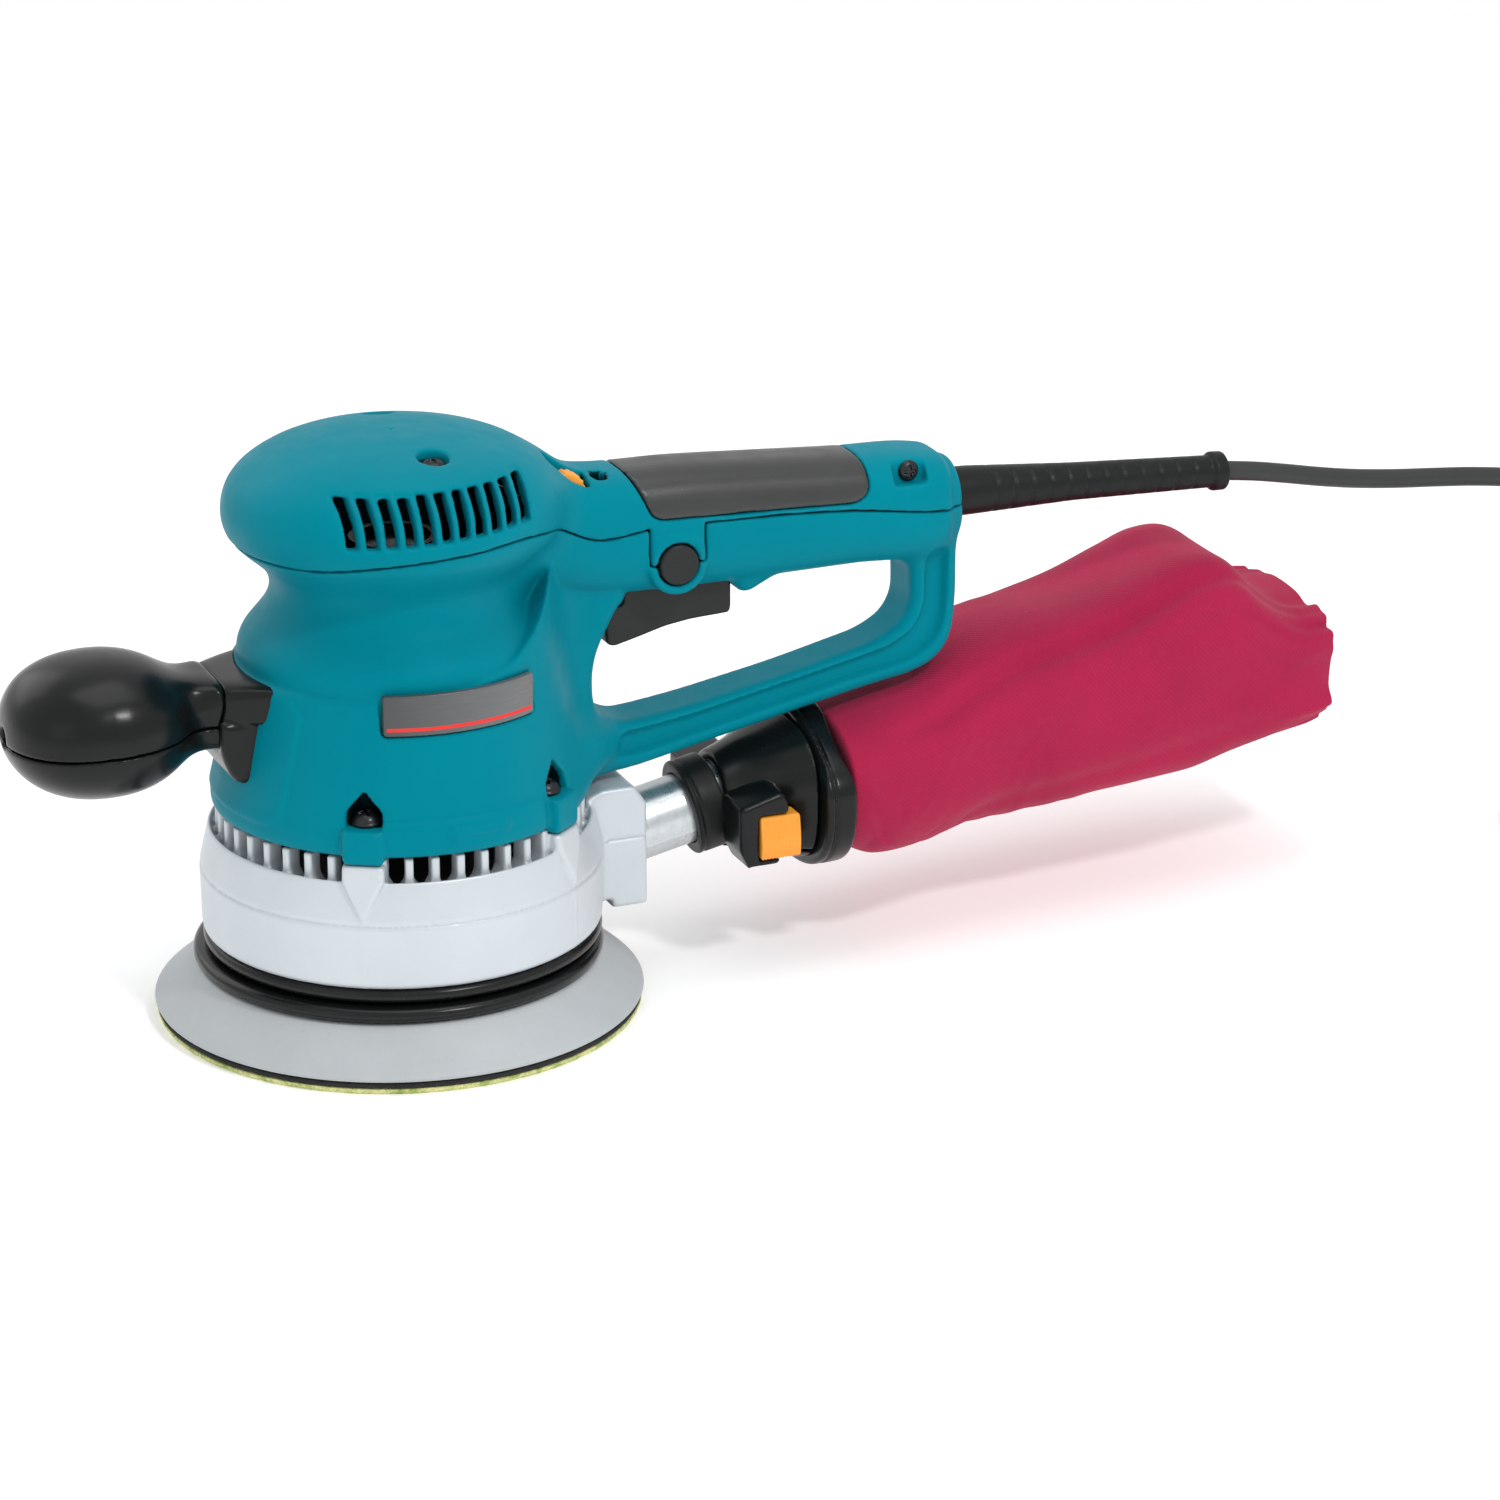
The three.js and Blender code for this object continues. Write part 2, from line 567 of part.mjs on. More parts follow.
// ---- front knob ----
function knobParts() {
  const [x, y, z] = KNOB_AT;
  const rings = 8;
  const sections = Array.from({ length: rings + 1 }, (_, i) => {
    const a = (Math.PI * (0.06 + (0.88 * i) / rings)) - Math.PI / 2;
    const shrink = Math.cos(a);
    return [x + KNOB_R * Math.sin(a), y, z, KNOB_R * shrink, KNOB_H * shrink];
  });
  const tail = [
    [x + 8, 0, z, 26, 20], [x + 22, 0, z + 1, 17, 14.5], [x + 30, 0, z + 1.8, 14, 12.6, 2.6],
    [x + 35, 0, z + 2, 14, 12.4, 2.8],
  ];
  const bulb = loft(sections, 24).add(loft(tail, 24));
  const bore = rod([x - 40, 0, z], [x - 8, 0, z], 3.1, 3.1, 16);
  const halves = bulb.subtract(bore);
  const split = z + KNOB_SPLIT;
  const yoke = loft(
    [
      [x + 35.3, 0, z + 2, 14, 12.4, 3], [-52, 0, z + 1.2, 18, 12, 3.2],
      [-43, 0, z + 0.6, 24, 11.6, 3.4], [-33, 0, z + 0.2, 27, 11.4, 3.6],
    ],
    24,
  );
  const foot = slab(
    [[-60.6, 82], [-58, 79.6], [-38, 79.6], [-38, 95], [-56, 95], [-60.6, 87.6]],
    19,
    1.4,
  );
  const arm = yoke.add(foot).subtract(bodySpace(GAP));
  const bolt = rod([x - 22, 0, z], [x - 15, 0, z], 2.8, 2.8, 6);
  return [
    node('knob_upper', halves.subtract(box(-140, -40, 60, -40, 40, split + PART_GAP)), 'black'),
    node('knob_lower', halves.subtract(box(-140, -40, split - PART_GAP, -40, 40, 150)), 'black'),
    node('knob_arm', arm, 'black'),
    node('knob_bolt', bolt, 'steel'),
  ];
}

// ---- handle hardware ----
function handleParts() {
  const trigger = slab(
    [
      [65.4, 107.2], [67.6, 106.4], [75, 108.4], [84.6, 111], [93, 112.2], [105.6, 112.8],
      [106.2, 116], [106.2, 124.4], [104, 126.2], [72, 126.2], [66, 124.6], [64.4, 118],
    ],
    6.2,
    0.8,
  ).subtract(rod([68.6, -10, 121.5], [68.6, 10, 121.5], 2.4, 2.4, 16));
  const pin = rod([68.6, -11.6, 121.5], [68.6, 11.6, 121.5], 2, 2, 16);
  const [lx, lz] = LOCK_AT;
  const button = rod([lx, -18.4, lz], [lx, -12.9, lz], 6.3).add(
    rod([lx, -13, lz], [lx, -4, lz], 3, 3, 20),
  );
  const spring = rod([lx, -10.2, lz], [lx, -6.6, lz], 4.5, 4.5, 20).subtract(
    rod([lx, -12, lz], [lx, -5, lz], 3.4, 3.4, 20),
  );
  const [dx, dy, dz] = DIAL_AT;
  const dial = rod([dx, dy - 2.6, dz], [dx, dy + 2.6, dz], 6.8, 6.8, 28);
  return [
    node('trigger', trigger, 'grip'),
    node('trigger_pin', pin, 'steel'),
    node('lock_button', button, 'grip'),
    node('lock_spring', spring, 'steel'),
    node('speed_dial', dial, 'orange'),
    node('switch_module', box(76, -1, 131, 112, 11, 143), 'black'),
    node('speed_controller', box(62, -5, 146, 92, 9, 156), 'black'),
    node('capacitor', rod([96, 2, 150], [116, 2, 150], 6, 6, 20), 'orange'),
    node('cord_clamp', box(140, -8, 129.4, 150, 8, 136), 'black'),
  ];
}

function screwParts() {
  const parts = screwSpots().map(([x, y], i) =>
    node(
      `skirt_screw_${i + 1}`,
      disc(4.6, SCREW_SEAT_Z + 0.3, SCREW_SEAT_Z + 3.6, x, y, 0, 14)
        .add(disc(1.9, 56, SCREW_SEAT_Z + 1, x, y, 0, 10))
        .subtract(box(x - 3.4, y - 0.6, SCREW_SEAT_Z + 2.6, x + 3.4, y + 0.6, 82)),
      'steel',
    ),
  );
  for (const [name, s] of [['near', -1], ['far', 1]]) {
    const y = s * 25;
    parts.push(
      node(
        `cover_screw_${name}`,
        disc(4.1, 176.7, 178.9, 4.4, y, 0, 14)
          .add(disc(1.9, 166, 177, 4.4, y, 0, 10))
          .subtract(box(1.4, y - 0.5, 178.1, 7.4, y + 0.5, 180)),
        'steel',
      ),
    );
  }
  const [gx, gz] = GRIP_SCREW;
  const rear = rod([gx, -14.6, gz], [gx, -12.7, gz], 3.6, 3.6, 20);
  parts.push(node('handle_screw', rear, 'steel'));
  return parts;
}

// ---- dust bag ----
const BAG_SECTIONS = [
  [138, 2, 54, 32, 22, 2.5], [150, 4, 54, 34, 25.2, 2.5], [168, 8, 56, 36.5, 28, 2.4],
  [190, 12, 60.2, 38, 31, 2.3], [215, 15, 65.6, 39, 34.4, 2.3], [240, 18, 70.8, 39.5, 36.8, 2.3],
  [262, 20, 74.6, 39, 37, 2.3], [282, 22, 73, 37.5, 32.2, 2.4], [300, 24, 71, 36, 26.6, 2.6],
  [312, 25, 68, 34, 22.6, 2.8], [317, 25.5, 67, 31, 19, 2.6],
];

function bagParts() {
  const cuff = rod(alongPipe(11), alongPipe(21), CUFF_R, CUFF_R, 24)
    .subtract(rod(alongPipe(0), alongPipe(40), PIPE_R + GAP, PIPE_R + GAP, 24));
  const duct = loft(
    [
      [103.4, 0, 51, 15.5, 15], [108, 0, 51.6, 17, 17], [118, 0, 52, 22, 20, 2.6],
      [127, 0, 53, 27, 22, 2.8],
    ],
    32,
  );
  const blocks = [-1, 1].map((s) =>
    slab([[99.6, 43], [103, 36], [112.6, 37.6], [116, 56.8], [113.6, 61], [99.4, 57]], 8, 1.2, s * 22),
  );
  const latchSlots = [-1, 1].map((s) => box(105.6, s * 26 - 6, 39.4, 119.6, s * 26 + 6, 54));
  const adaptor = unite([duct, ...blocks])
    .subtract(rod(alongPipe(10), alongPipe(32), PIPE_R + GAP, PIPE_R + GAP, 24))
    .subtract(rod(alongPipe(4), alongPipe(21 + GAP), CUFF_R + GAP, CUFF_R + GAP, 24))
    .subtract(loft([[112, 0, 52, 11, 11], [128, 0, 53, 20, 16, 2.6]], 24))
    .subtract(unite(latchSlots));
  const latch = (s) => box(106, s * 27 - 4.5, 39.8, 119.2, s * 27 + 4.5, 53.6);
  const frame = loft(
    [
      [127.3, 2, 52.6, 33, 23, 2.4], [129, 2, 52.6, 35, 25, 2.4], [136, 2, 53, 35, 25, 2.4],
      [137.6, 2, 53, 34, 24, 2.4],
    ],
    32,
  ).subtract(loft([[120, 2, 54, 21, 16, 2.6], [142, 2, 55, 26, 19, 2.6]], 24));
  const bagBody = loft(BAG_SECTIONS, 24).subtract(
    slab([[139, 100], [139, 78.6], [150, 80.6], [168, 83], [176, 88], [182, 97], [182, 130],
      [139, 130]], 12.6, 0),
  );
  return [
    node('bag_cuff', cuff, 'rubber'),
    node('bag_adaptor', adaptor, 'black'),
    node('bag_latch_near', latch(-1), 'orange'),
    node('bag_latch_far', latch(1), 'orange'),
    node('bag_frame', frame, 'black'),
    node('dust_bag', bagBody, 'crimson'),
  ];
}

// ---- cord ----
const CORD_ROUTE = [
  [278, 0, 136.7], [289, 0, 135.2], [300, 0, 133.2], [312, 0, 130.8], [325, 0, 128.6],
  [340, 0, 126.8], [355, 0, 125.5], [370, 0.2, 124], [385, 1, 121.6], [400, 2.6, 117.4],
  [414.5, 5, 111], [428, 7.6, 102.2], [440.4, 9.8, 91], [451.4, 11, 78], [460.6, 10.6, 63.6],
  [468, 8.4, 49.4], [473.6, 4.6, 36.4], [477.4, -0.4, 25.2], [479.8, -6.6, 16.2],
  [481, -14.2, 9.4], [481.4, -22.6, 5.1], [481, -31, 3.4],
];
// the cord's end: round on top of the coil and into the plug
const TAIL_ROUTE = [
  [423.7, -61.8, 22.4], [412.8, -59.6, 22.4], [402, -54.2, 22.4], [393.8, -45.4, 22.5],
  [389.2, -34.6, 22.6], [389, -23.4, 23.3], [393.2, -13.6, 24.5], [400.4, -6.2, 26],
  [410, -2.4, 27.5], [420, -1.8, 28.3], [426, -2, 28.3],
];
const PLUG_AT = [418, -2, 28.3]; // the end of the plug's sleeve
const RELIEF = [
  [172, 141, 10], [176.2, 141, 10], [175, 141, 8], [188, 140.8, 7.7], [187.6, 140.8, 7.7],
  [224, 139.4, 6], [223.6, 139.4, 6], [274.6, 137, 5.2], [273.6, 137, 6.3], [277.6, 136.8, 6.3],
]; // x, z, radius at the two ends of each length

/** A round tube along a smooth route. */
function hose(route, steps) {
  const path = new THREE.CatmullRomCurve3(route.map((p) => new THREE.Vector3(...p)));
  const circle = new THREE.Shape();
  for (let i = 0; i < CORD_SIDES; i += 1) {
    const a = (2 * Math.PI * i) / CORD_SIDES;
    circle[i ? 'lineTo' : 'moveTo'](CORD_R * Math.cos(a), CORD_R * Math.sin(a));
  }
  return solid(new THREE.ExtrudeGeometry(circle, { steps, extrudePath: path }));
}

function strainRelief() {
  const lengths = [];
  for (let i = 0; i < RELIEF.length; i += 2) {
    const [[x0, z0, r0], [x1, z1, r1]] = [RELIEF[i], RELIEF[i + 1]];
    lengths.push(rod([x0, 0, z0], [x1, 0, z1], r0, r1, 18));
  }
  return node('strain_relief', unite(lengths), 'rubber');
}

function coilBody() {
  const edge = 3; // rounding of the bundle
  const [inner, outer] = [COIL_R - COIL_W, COIL_R + COIL_W];
  return turned(
    [
      [inner, edge], [inner + edge, 0.2], [outer - edge, 0.2], [outer, edge],
      [outer, COIL_H - edge], [outer - edge, COIL_H], [inner + edge, COIL_H],
      [inner, COIL_H - edge], [inner, edge],
    ],
    ...COIL_AT,
    36,
  );
}

function plugParts() {
  const [x, y, z] = PLUG_AT;
  const plug = loft(
    [
      [x, y, z, 4.6, 4.4], [x + 8, y, z, 6, 5.8], [x + 13, y, z, 9.6, 8.4, 2.6],
      [x + 20, y, z, 12, 9, 3], [x + 32, y, z, 12, 9, 3], [x + 34, y, z, 11, 8, 3],
    ],
    24,
  );
  const pins = [-1, 1].map((s, i) =>
    node(
      `plug_pin_${i + 1}`,
      box(x + 34 + GAP, y + s * 6.3 - 3, z - 0.8, x + 51, y + s * 6.3 + 3, z + 0.8),
      'brass',
    ),
  );
  return [node('plug', plug.add(hose(TAIL_ROUTE, 16)), 'rubber'), ...pins];
}

function cordParts() {
  return [
    strainRelief(),
    node('cord', hose(CORD_ROUTE, 32), 'rubber'),
    node('cord_coil', coilBody(), 'rubber'),
    ...plugParts(),
  ];
}

const whole = shell();
const group = new THREE.Group();
group.name = 'orbital_sander';
group.add(
  motorHousing(whole),
  topCover(whole),
  gripInlay(),
  node('badge', badgeBody(0), 'badge'),
  fanHousing(),
  dustNozzle(),
  dustSkirt(),
  ...knobParts(),
  ...screwParts(),
  ...motorParts(),
  ...handleParts(),
  ...padParts(),
  ...bagParts(),
  ...cordParts(),
);

export default group;
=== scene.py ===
"""Random orbital sander with a D-handle, front knob, dust bag and mains cord.

Every hard shell is drawn as a distance field (turned, extruded and lofted shapes that melt
into each other with moulded fillets) and meshed from it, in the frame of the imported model.
Lengths inside the shape code are millimetres; meshes are made in metres.
"""

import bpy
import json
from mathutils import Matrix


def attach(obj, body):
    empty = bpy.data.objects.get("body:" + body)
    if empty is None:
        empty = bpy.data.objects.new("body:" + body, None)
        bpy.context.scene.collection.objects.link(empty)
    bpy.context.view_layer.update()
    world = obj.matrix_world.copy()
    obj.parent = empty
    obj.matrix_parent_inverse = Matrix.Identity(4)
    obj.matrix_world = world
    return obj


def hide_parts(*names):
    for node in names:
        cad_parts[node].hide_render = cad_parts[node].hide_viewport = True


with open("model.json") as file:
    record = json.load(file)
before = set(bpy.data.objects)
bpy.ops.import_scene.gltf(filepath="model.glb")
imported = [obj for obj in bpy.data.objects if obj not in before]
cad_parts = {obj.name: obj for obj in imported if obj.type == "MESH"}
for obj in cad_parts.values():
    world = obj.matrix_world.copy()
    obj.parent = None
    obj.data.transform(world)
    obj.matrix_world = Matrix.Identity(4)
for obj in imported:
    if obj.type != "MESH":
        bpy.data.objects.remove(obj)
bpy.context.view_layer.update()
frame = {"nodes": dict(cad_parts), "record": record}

import json
import math

import bmesh
import bpy
import numpy as np
import openvdb
from mathutils import Matrix, Vector

MM = 0.001
scene = bpy.context.scene

# ---- camera ----
AZIMUTH = math.radians(-22.5)
ELEVATION = math.radians(20.007)
CAMERA_AT = (-0.44527, -1.35218, 0.59762)


def add_camera():
    data = bpy.data.cameras.new("camera")
    data.lens = 120
    data.sensor_width = 36
    data.clip_start = 0.05
    data.clip_end = 50
    camera = bpy.data.objects.new("camera", data)
    right = Vector((math.cos(AZIMUTH), math.sin(AZIMUTH), 0))
    back = Vector((
        math.sin(AZIMUTH) * math.cos(ELEVATION),
        -math.cos(AZIMUTH) * math.cos(ELEVATION),
        math.sin(ELEVATION),
    ))
    up = back.cross(right)
    turn = Matrix((right, up, back)).transposed()
    camera.matrix_world = Matrix.Translation(CAMERA_AT) @ turn.to_4x4()
    scene.collection.objects.link(camera)
    scene.camera = camera


add_camera()

# ---- cord ----
CORD_R = 3.1
COIL_AT = (430, -30)
CORD_ROUTE = [
    (278, 0, 136.7), (289, 0, 135.2), (300, 0, 133.2), (312, 0, 130.8), (325, 0, 128.6),
    (340, 0, 126.8), (355, 0, 125.5), (370, 0.2, 124), (385, 1, 121.6), (400, 2.6, 117.4),
    (414.5, 5, 111), (428, 7.6, 102.2), (440.4, 9.8, 91), (451.4, 11, 78), (460.6, 10.6, 63.6),
    (468, 8.4, 49.4), (473.6, 4.6, 36.4), (477.4, -0.4, 25.2), (479.8, -6.6, 16.2),
    (481, -14.2, 9.4), (481.4, -22.6, 5.1), (481, -31, 3.4),
]
TAIL_ROUTE = [
    (412.8, -59.6, 22.3), (402, -54.2, 22.3), (393.8, -45.4, 22.4), (389.2, -34.6, 22.6),
    (389, -23.4, 23.3), (393.2, -13.6, 24.5), (400.4, -6.2, 26), (410, -2.4, 27.5),
    (420, -1.8, 28.3), (426, -2, 28.3),
]
COIL_RADII = (31.8, 38.0, 44.2)
COIL_HEIGHTS = (3.35, 9.55, 15.75)
# (radius, height) of each turn, from the first to the last
WINDING = [(2, 0), (1, 0), (0, 0), (0, 1), (1, 1), (2, 1), (2, 2), (1, 2), (0, 2)]
TURN_POINTS = 18
CROSSING = 120.0  # degrees in which the cord moves over to the next turn
CLIMB_BULGE = 2.2
CLIMB_TO_TAIL = [
    (20, 31.1, 16.3), (40, 30.4, 17.6), (60, 30.2, 19.1), (80, 30.9, 20.7), (100, 32.4, 21.9),
]  # degrees after the last turn, radius, height


def round_coil(angle, radius, height):
    a = math.radians(angle)
    return (COIL_AT[0] + radius * math.cos(a), COIL_AT[1] + radius * math.sin(a), height)


def cord_points():
    """The whole cord's line: the free stretch, the coil and the end that goes to the plug."""
    end = CORD_ROUTE[-1]
    start = math.degrees(math.atan2(end[1] - COIL_AT[1], end[0] - COIL_AT[0]))
    last = (math.hypot(end[0] - COIL_AT[0], end[1] - COIL_AT[1]), end[2])
    points = list(CORD_ROUTE)
    for turn, (i, j) in enumerate(WINDING):
        radius, height = COIL_RADII[i], COIL_HEIGHTS[j]
        climbs = height - last[1] > CORD_R
        for n in range(TURN_POINTS):
            angle = 360 * n / TURN_POINTS
            t = min(angle / CROSSING, 1)
            share = t * t * (3 - 2 * t)
            r = last[0] + (radius - last[0]) * share
            if climbs:
                r += (CLIMB_BULGE if i else -CLIMB_BULGE) * math.sin(math.pi * t)
            if turn or n:
                z = last[1] + (height - last[1]) * share
                points.append(round_coil(start - 360 * turn - angle, r, z))
        last = (radius, height)
    points.append(round_coil(start, *last))
    points += [round_coil(start - a, r, z) for a, r, z in CLIMB_TO_TAIL]
    return points + TAIL_ROUTE


def between(x, low, high, a, b):
    """From a where x is low to b where it is high."""
    return (high - x) / (high - low) * a + (x - low) / (high - low) * b


def smooth_line(points, steps):
    """Centripetal Catmull-Rom line through the points."""
    p = np.array(points, float)
    p = np.vstack([2 * p[0] - p[1], p, 2 * p[-1] - p[-2]])
    line = []
    for i in range(1, len(p) - 2):
        q = p[i - 1:i + 3]
        t = np.concatenate([[0], np.cumsum(np.linalg.norm(np.diff(q, axis=0), axis=1) ** 0.5)])
        for share in np.arange(steps) / steps:
            x = t[1] + share * (t[2] - t[1])
            a = [between(x, t[k], t[k + 1], q[k], q[k + 1]) for k in range(3)]
            b = [between(x, t[k], t[k + 2], a[k], a[k + 1]) for k in range(2)]
            line.append(between(x, t[1], t[2], b[0], b[1]))
    line.append(p[-2])
    return np.array(line)


# ---- distance fields ----
CORNER_POINTS = 6  # on each rounded corner of an outline


class Block:
    """A block of space on a regular grid, in millimetres."""

    def __init__(self, low, high, step, quick_step=None):
        step = quick_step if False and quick_step else step
        self.step = step
        self.low = np.floor(np.array(low, float) / step) * step - 3 * step
        count = np.ceil((np.array(high, float) - self.low) / step).astype(int) + 4
        axes = [(self.low[k] + step * np.arange(count[k])).astype(np.float32) for k in range(3)]
        self.x = axes[0][:, None, None]
        self.y = axes[1][None, :, None]
        self.z = axes[2][None, None, :]


def polygon(u, v, points):
    """Signed distance to a closed outline, negative inside."""
    pts = np.asarray(points, np.float32)
    best = np.full(np.broadcast(u, v).shape, 1e9, np.float32)
    sign = np.ones(best.shape, np.float32)
    for (au, av), (bu, bv) in zip(pts, np.roll(pts, 1, axis=0)):
        eu, ev = bu - au, bv - av
        wu, wv = u - au, v - av
        t = np.clip((wu * eu + wv * ev) / max(eu * eu + ev * ev, 1e-9), 0, 1)
        best = np.minimum(best, (wu - eu * t) ** 2 + (wv - ev * t) ** 2)
        above, below, left = v >= av, v < bv, eu * wv > ev * wu
        flip = (above & below & left) | (~above & ~below & ~left)
        sign = np.where(flip, -sign, sign)
    return sign * np.sqrt(best)


def rounded_outline(points, radius=0.0):
    """The closed outline as a dense smooth line: corners become curves."""
    p = np.array(points, float)
    out = []
    for before, here, after in zip(np.roll(p, 1, axis=0), p, np.roll(p, -1, axis=0)):
        a, b = before - here, after - here
        la, lb = np.linalg.norm(a), np.linalg.norm(b)
        reach = min(radius, la / 2, lb / 2)
        if reach < 0.05:
            out.append(here)
            continue
        start, end = here + a / la * reach, here + b / lb * reach
        for t in np.linspace(0, 1, CORNER_POINTS):
            out.append((1 - t) ** 2 * start + 2 * t * (1 - t) * here + t * t * end)
    return np.array(out)


def meet(a, b, radius=0.0):
    """Where both shapes are, with the shared edge rounded."""
    if not radius:
        return np.maximum(a, b)
    a, b = a + radius, b + radius
    outer = np.hypot(np.maximum(a, 0), np.maximum(b, 0))
    return np.minimum(np.maximum(a, b), 0) + outer - radius


def join(a, b, blend=0.0):
    """Either shape, melted together over the blend distance."""
    if not blend:
        return np.minimum(a, b)
    h = np.maximum(blend - np.abs(a - b), 0) / blend
    return np.minimum(a, b) - h * h * (blend / 4)


def cut(a, b, blend=0.0):
    """The first shape without the second."""
    return -join(-a, b, blend)


def lathe(g, profile, x=0.0, y=0.0):
    """A turned shape about Z, from (radius, height) points; radius 0 is the axis."""
    pts = [(r if r > 0 else -40.0, z) for r, z in profile]
    r = np.sqrt((g.x - x) ** 2 + (g.y - y) ** 2)[:, :, 0]
    pitch = g.step / 2
    radii = np.arange(0, float(r.max()) + 2 * pitch, pitch, dtype=np.float32)
    table = polygon(radii[:, None], g.z[0, 0][None, :], pts).astype(np.float32)
    k = np.minimum((r / pitch).astype(int), len(radii) - 2)
    f = (r / pitch - k)[..., None].astype(np.float32)
    return table[k] * (1 - f) + table[k + 1] * f


def slab(g, outline, half, edge=0.0, y=0.0):
    """An XZ outline through Y from y - half to y + half."""
    return meet(polygon(g.x, g.z, outline), np.abs(g.y - y) - half, edge)


def box(g, low, high, edge=0.0):
    d = None
    for axis, lo, hi in zip((g.x, g.y, g.z), low, high):
        side = np.abs(axis - (lo + hi) / 2) - (hi - lo) / 2
        d = side if d is None else meet(d, side, edge)
    return d


def hermite(x, xs, ys):
    """Smooth value at x through the points."""
    xs, ys = np.array(xs, float), np.array(ys, float)
    slope = np.gradient(ys, xs)
    x = np.clip(x, xs[0], xs[-1])
    i = np.clip(np.searchsorted(xs, x) - 1, 0, len(xs) - 2)
    h = xs[i + 1] - xs[i]
    t = (x - xs[i]) / h
    return (
        (2 * t ** 3 - 3 * t ** 2 + 1) * ys[i] + (t ** 3 - 2 * t ** 2 + t) * h * slope[i]
        + (3 * t ** 2 - 2 * t ** 3) * ys[i + 1] + (t ** 3 - t ** 2) * h * slope[i + 1]
    )


def along_x(g, values):
    """One value for each X of the block."""
    return values.astype(np.float32)[:, None, None]


def loft(g, sections, edge=0.0):
    """Rounded sections along X: each is (x, y, z, half width, half height, power)."""
    rows = [s if len(s) == 6 else (*s, 2) for s in sections]
    cols = np.array(rows, float).T
    x = g.x[:, 0, 0]
    y0, z0, w, h, p = (along_x(g, hermite(x, cols[0], c)) for c in cols[1:])
    w, h = np.maximum(w, 0.5), np.maximum(h, 0.5)
    u = np.maximum(np.abs(g.y - y0) / w, 1e-3)
    v = np.maximum(np.abs(g.z - z0) / h, 1e-3)
    up, vp = u ** p, v ** p
    k = (up + vp) ** (1 / p)
    steep = np.sqrt((up / u / w) ** 2 + (vp / v / h) ** 2) * k ** (1 - p)
    d = (k - 1) / np.maximum(steep, 1e-3)
    mid, half = (cols[0][0] + cols[0][-1]) / 2, (cols[0][-1] - cols[0][0]) / 2
    return meet(np.clip(d, -60, 60), np.abs(g.x - mid) - half, edge)


def rod(g, a, b, ra, rb=None, edge=0.0):
    """A round rod or cone from a to b."""
    rb = ra if rb is None else rb
    a, b = np.array(a, np.float32), np.array(b, np.float32)
    length = float(np.linalg.norm(b - a))
    n = (b - a) / length
    px, py, pz = g.x - a[0], g.y - a[1], g.z - a[2]
    h = px * n[0] + py * n[1] + pz * n[2]
    r = np.sqrt(np.maximum(px * px + py * py + pz * pz - h * h, 0))
    want = ra + (rb - ra) * np.clip(h / length, 0, 1)
    return meet(r - want, np.abs(h - length / 2) - length / 2, edge)


# ---- meshes ----
def largest_island(points, quads):
    """Drops loose scraps and keeps the main body."""
    label = np.arange(len(points))
    while True:
        low = label[quads].min(axis=1)
        new = label.copy()
        for k in range(4):
            np.minimum.at(new, quads[:, k], low)
        new = new[new]
        if np.array_equal(new, label):
            break
        label = new
    names, counts = np.unique(label[quads[:, 0]], return_counts=True)
    keep = np.isin(label, names[counts >= 0.02 * counts.max()])
    index = np.cumsum(keep) - 1
    return points[keep], index[quads[keep[quads[:, 0]]]]


def relax(points, quads, rounds):
    """Evens the surface out: each point moves halfway to the middle of its neighbours."""
    a = quads.ravel()
    b = np.roll(quads, -1, axis=1).ravel()
    start, end = np.concatenate([a, b]), np.concatenate([b, a])
    count = np.maximum(np.bincount(start, minlength=len(points)), 1)[:, None]
    for _ in range(rounds):
        total = np.stack(
            [np.bincount(start, weights=points[end, k], minlength=len(points)) for k in range(3)],
            axis=1,
        )
        points = points * 0.5 + total / count * 0.5
    return points


def fill_mesh(name, points, faces):
    """A smooth-shaded object from millimetre points and equal-sized faces."""
    me = bpy.data.meshes.new(name)
    points = np.asarray(points, np.float32) * MM
    faces = np.asarray(faces, np.int32)
    me.vertices.add(len(points))
    me.vertices.foreach_set("co", points.ravel())
    me.loops.add(faces.size)
    me.loops.foreach_set("vertex_index", faces.ravel())
    me.polygons.add(len(faces))
    me.polygons.foreach_set("loop_start", np.arange(0, faces.size, faces.shape[1], dtype=np.int32))
    me.update(calc_edges=True)
    me.validate()
    me.shade_smooth()
    ob = bpy.data.objects.new(name, me)
    scene.collection.objects.link(ob)
    return ob


def carve(name, g, d, rounds=2):
    """The object whose surface is where the field is 0."""
    band = 3 * g.step
    grid = openvdb.FloatGrid()
    grid.background = band
    grid.copyFromArray(np.ascontiguousarray(np.clip(d, -band, band), np.float32))
    points, quads = grid.convertToQuads(isovalue=0.0)
    points, quads = largest_island(points.astype(float), quads.astype(int))
    points = relax(points * g.step + g.low, quads, rounds)
    a, b, c, e = (points[quads[:, k]] for k in range(4))
    if np.einsum("ij,ij->", np.cross(b - a, c - a) + np.cross(c - a, e - a), a + c) < 0:
        quads = quads[:, ::-1]
    return fill_mesh(name, points, quads)


# ---- materials ----
def srgb(r, g, b):
    """Linear colour from 0..255 display values."""
    def linear(c):
        c /= 255
        return c / 12.92 if c <= 0.04045 else ((c + 0.055) / 1.055) ** 2.4
    return (linear(r), linear(g), linear(b), 1.0)


def shade(colour, by):
    return tuple(min(max(c * by, 0), 1) for c in colour[:3]) + (1.0,)


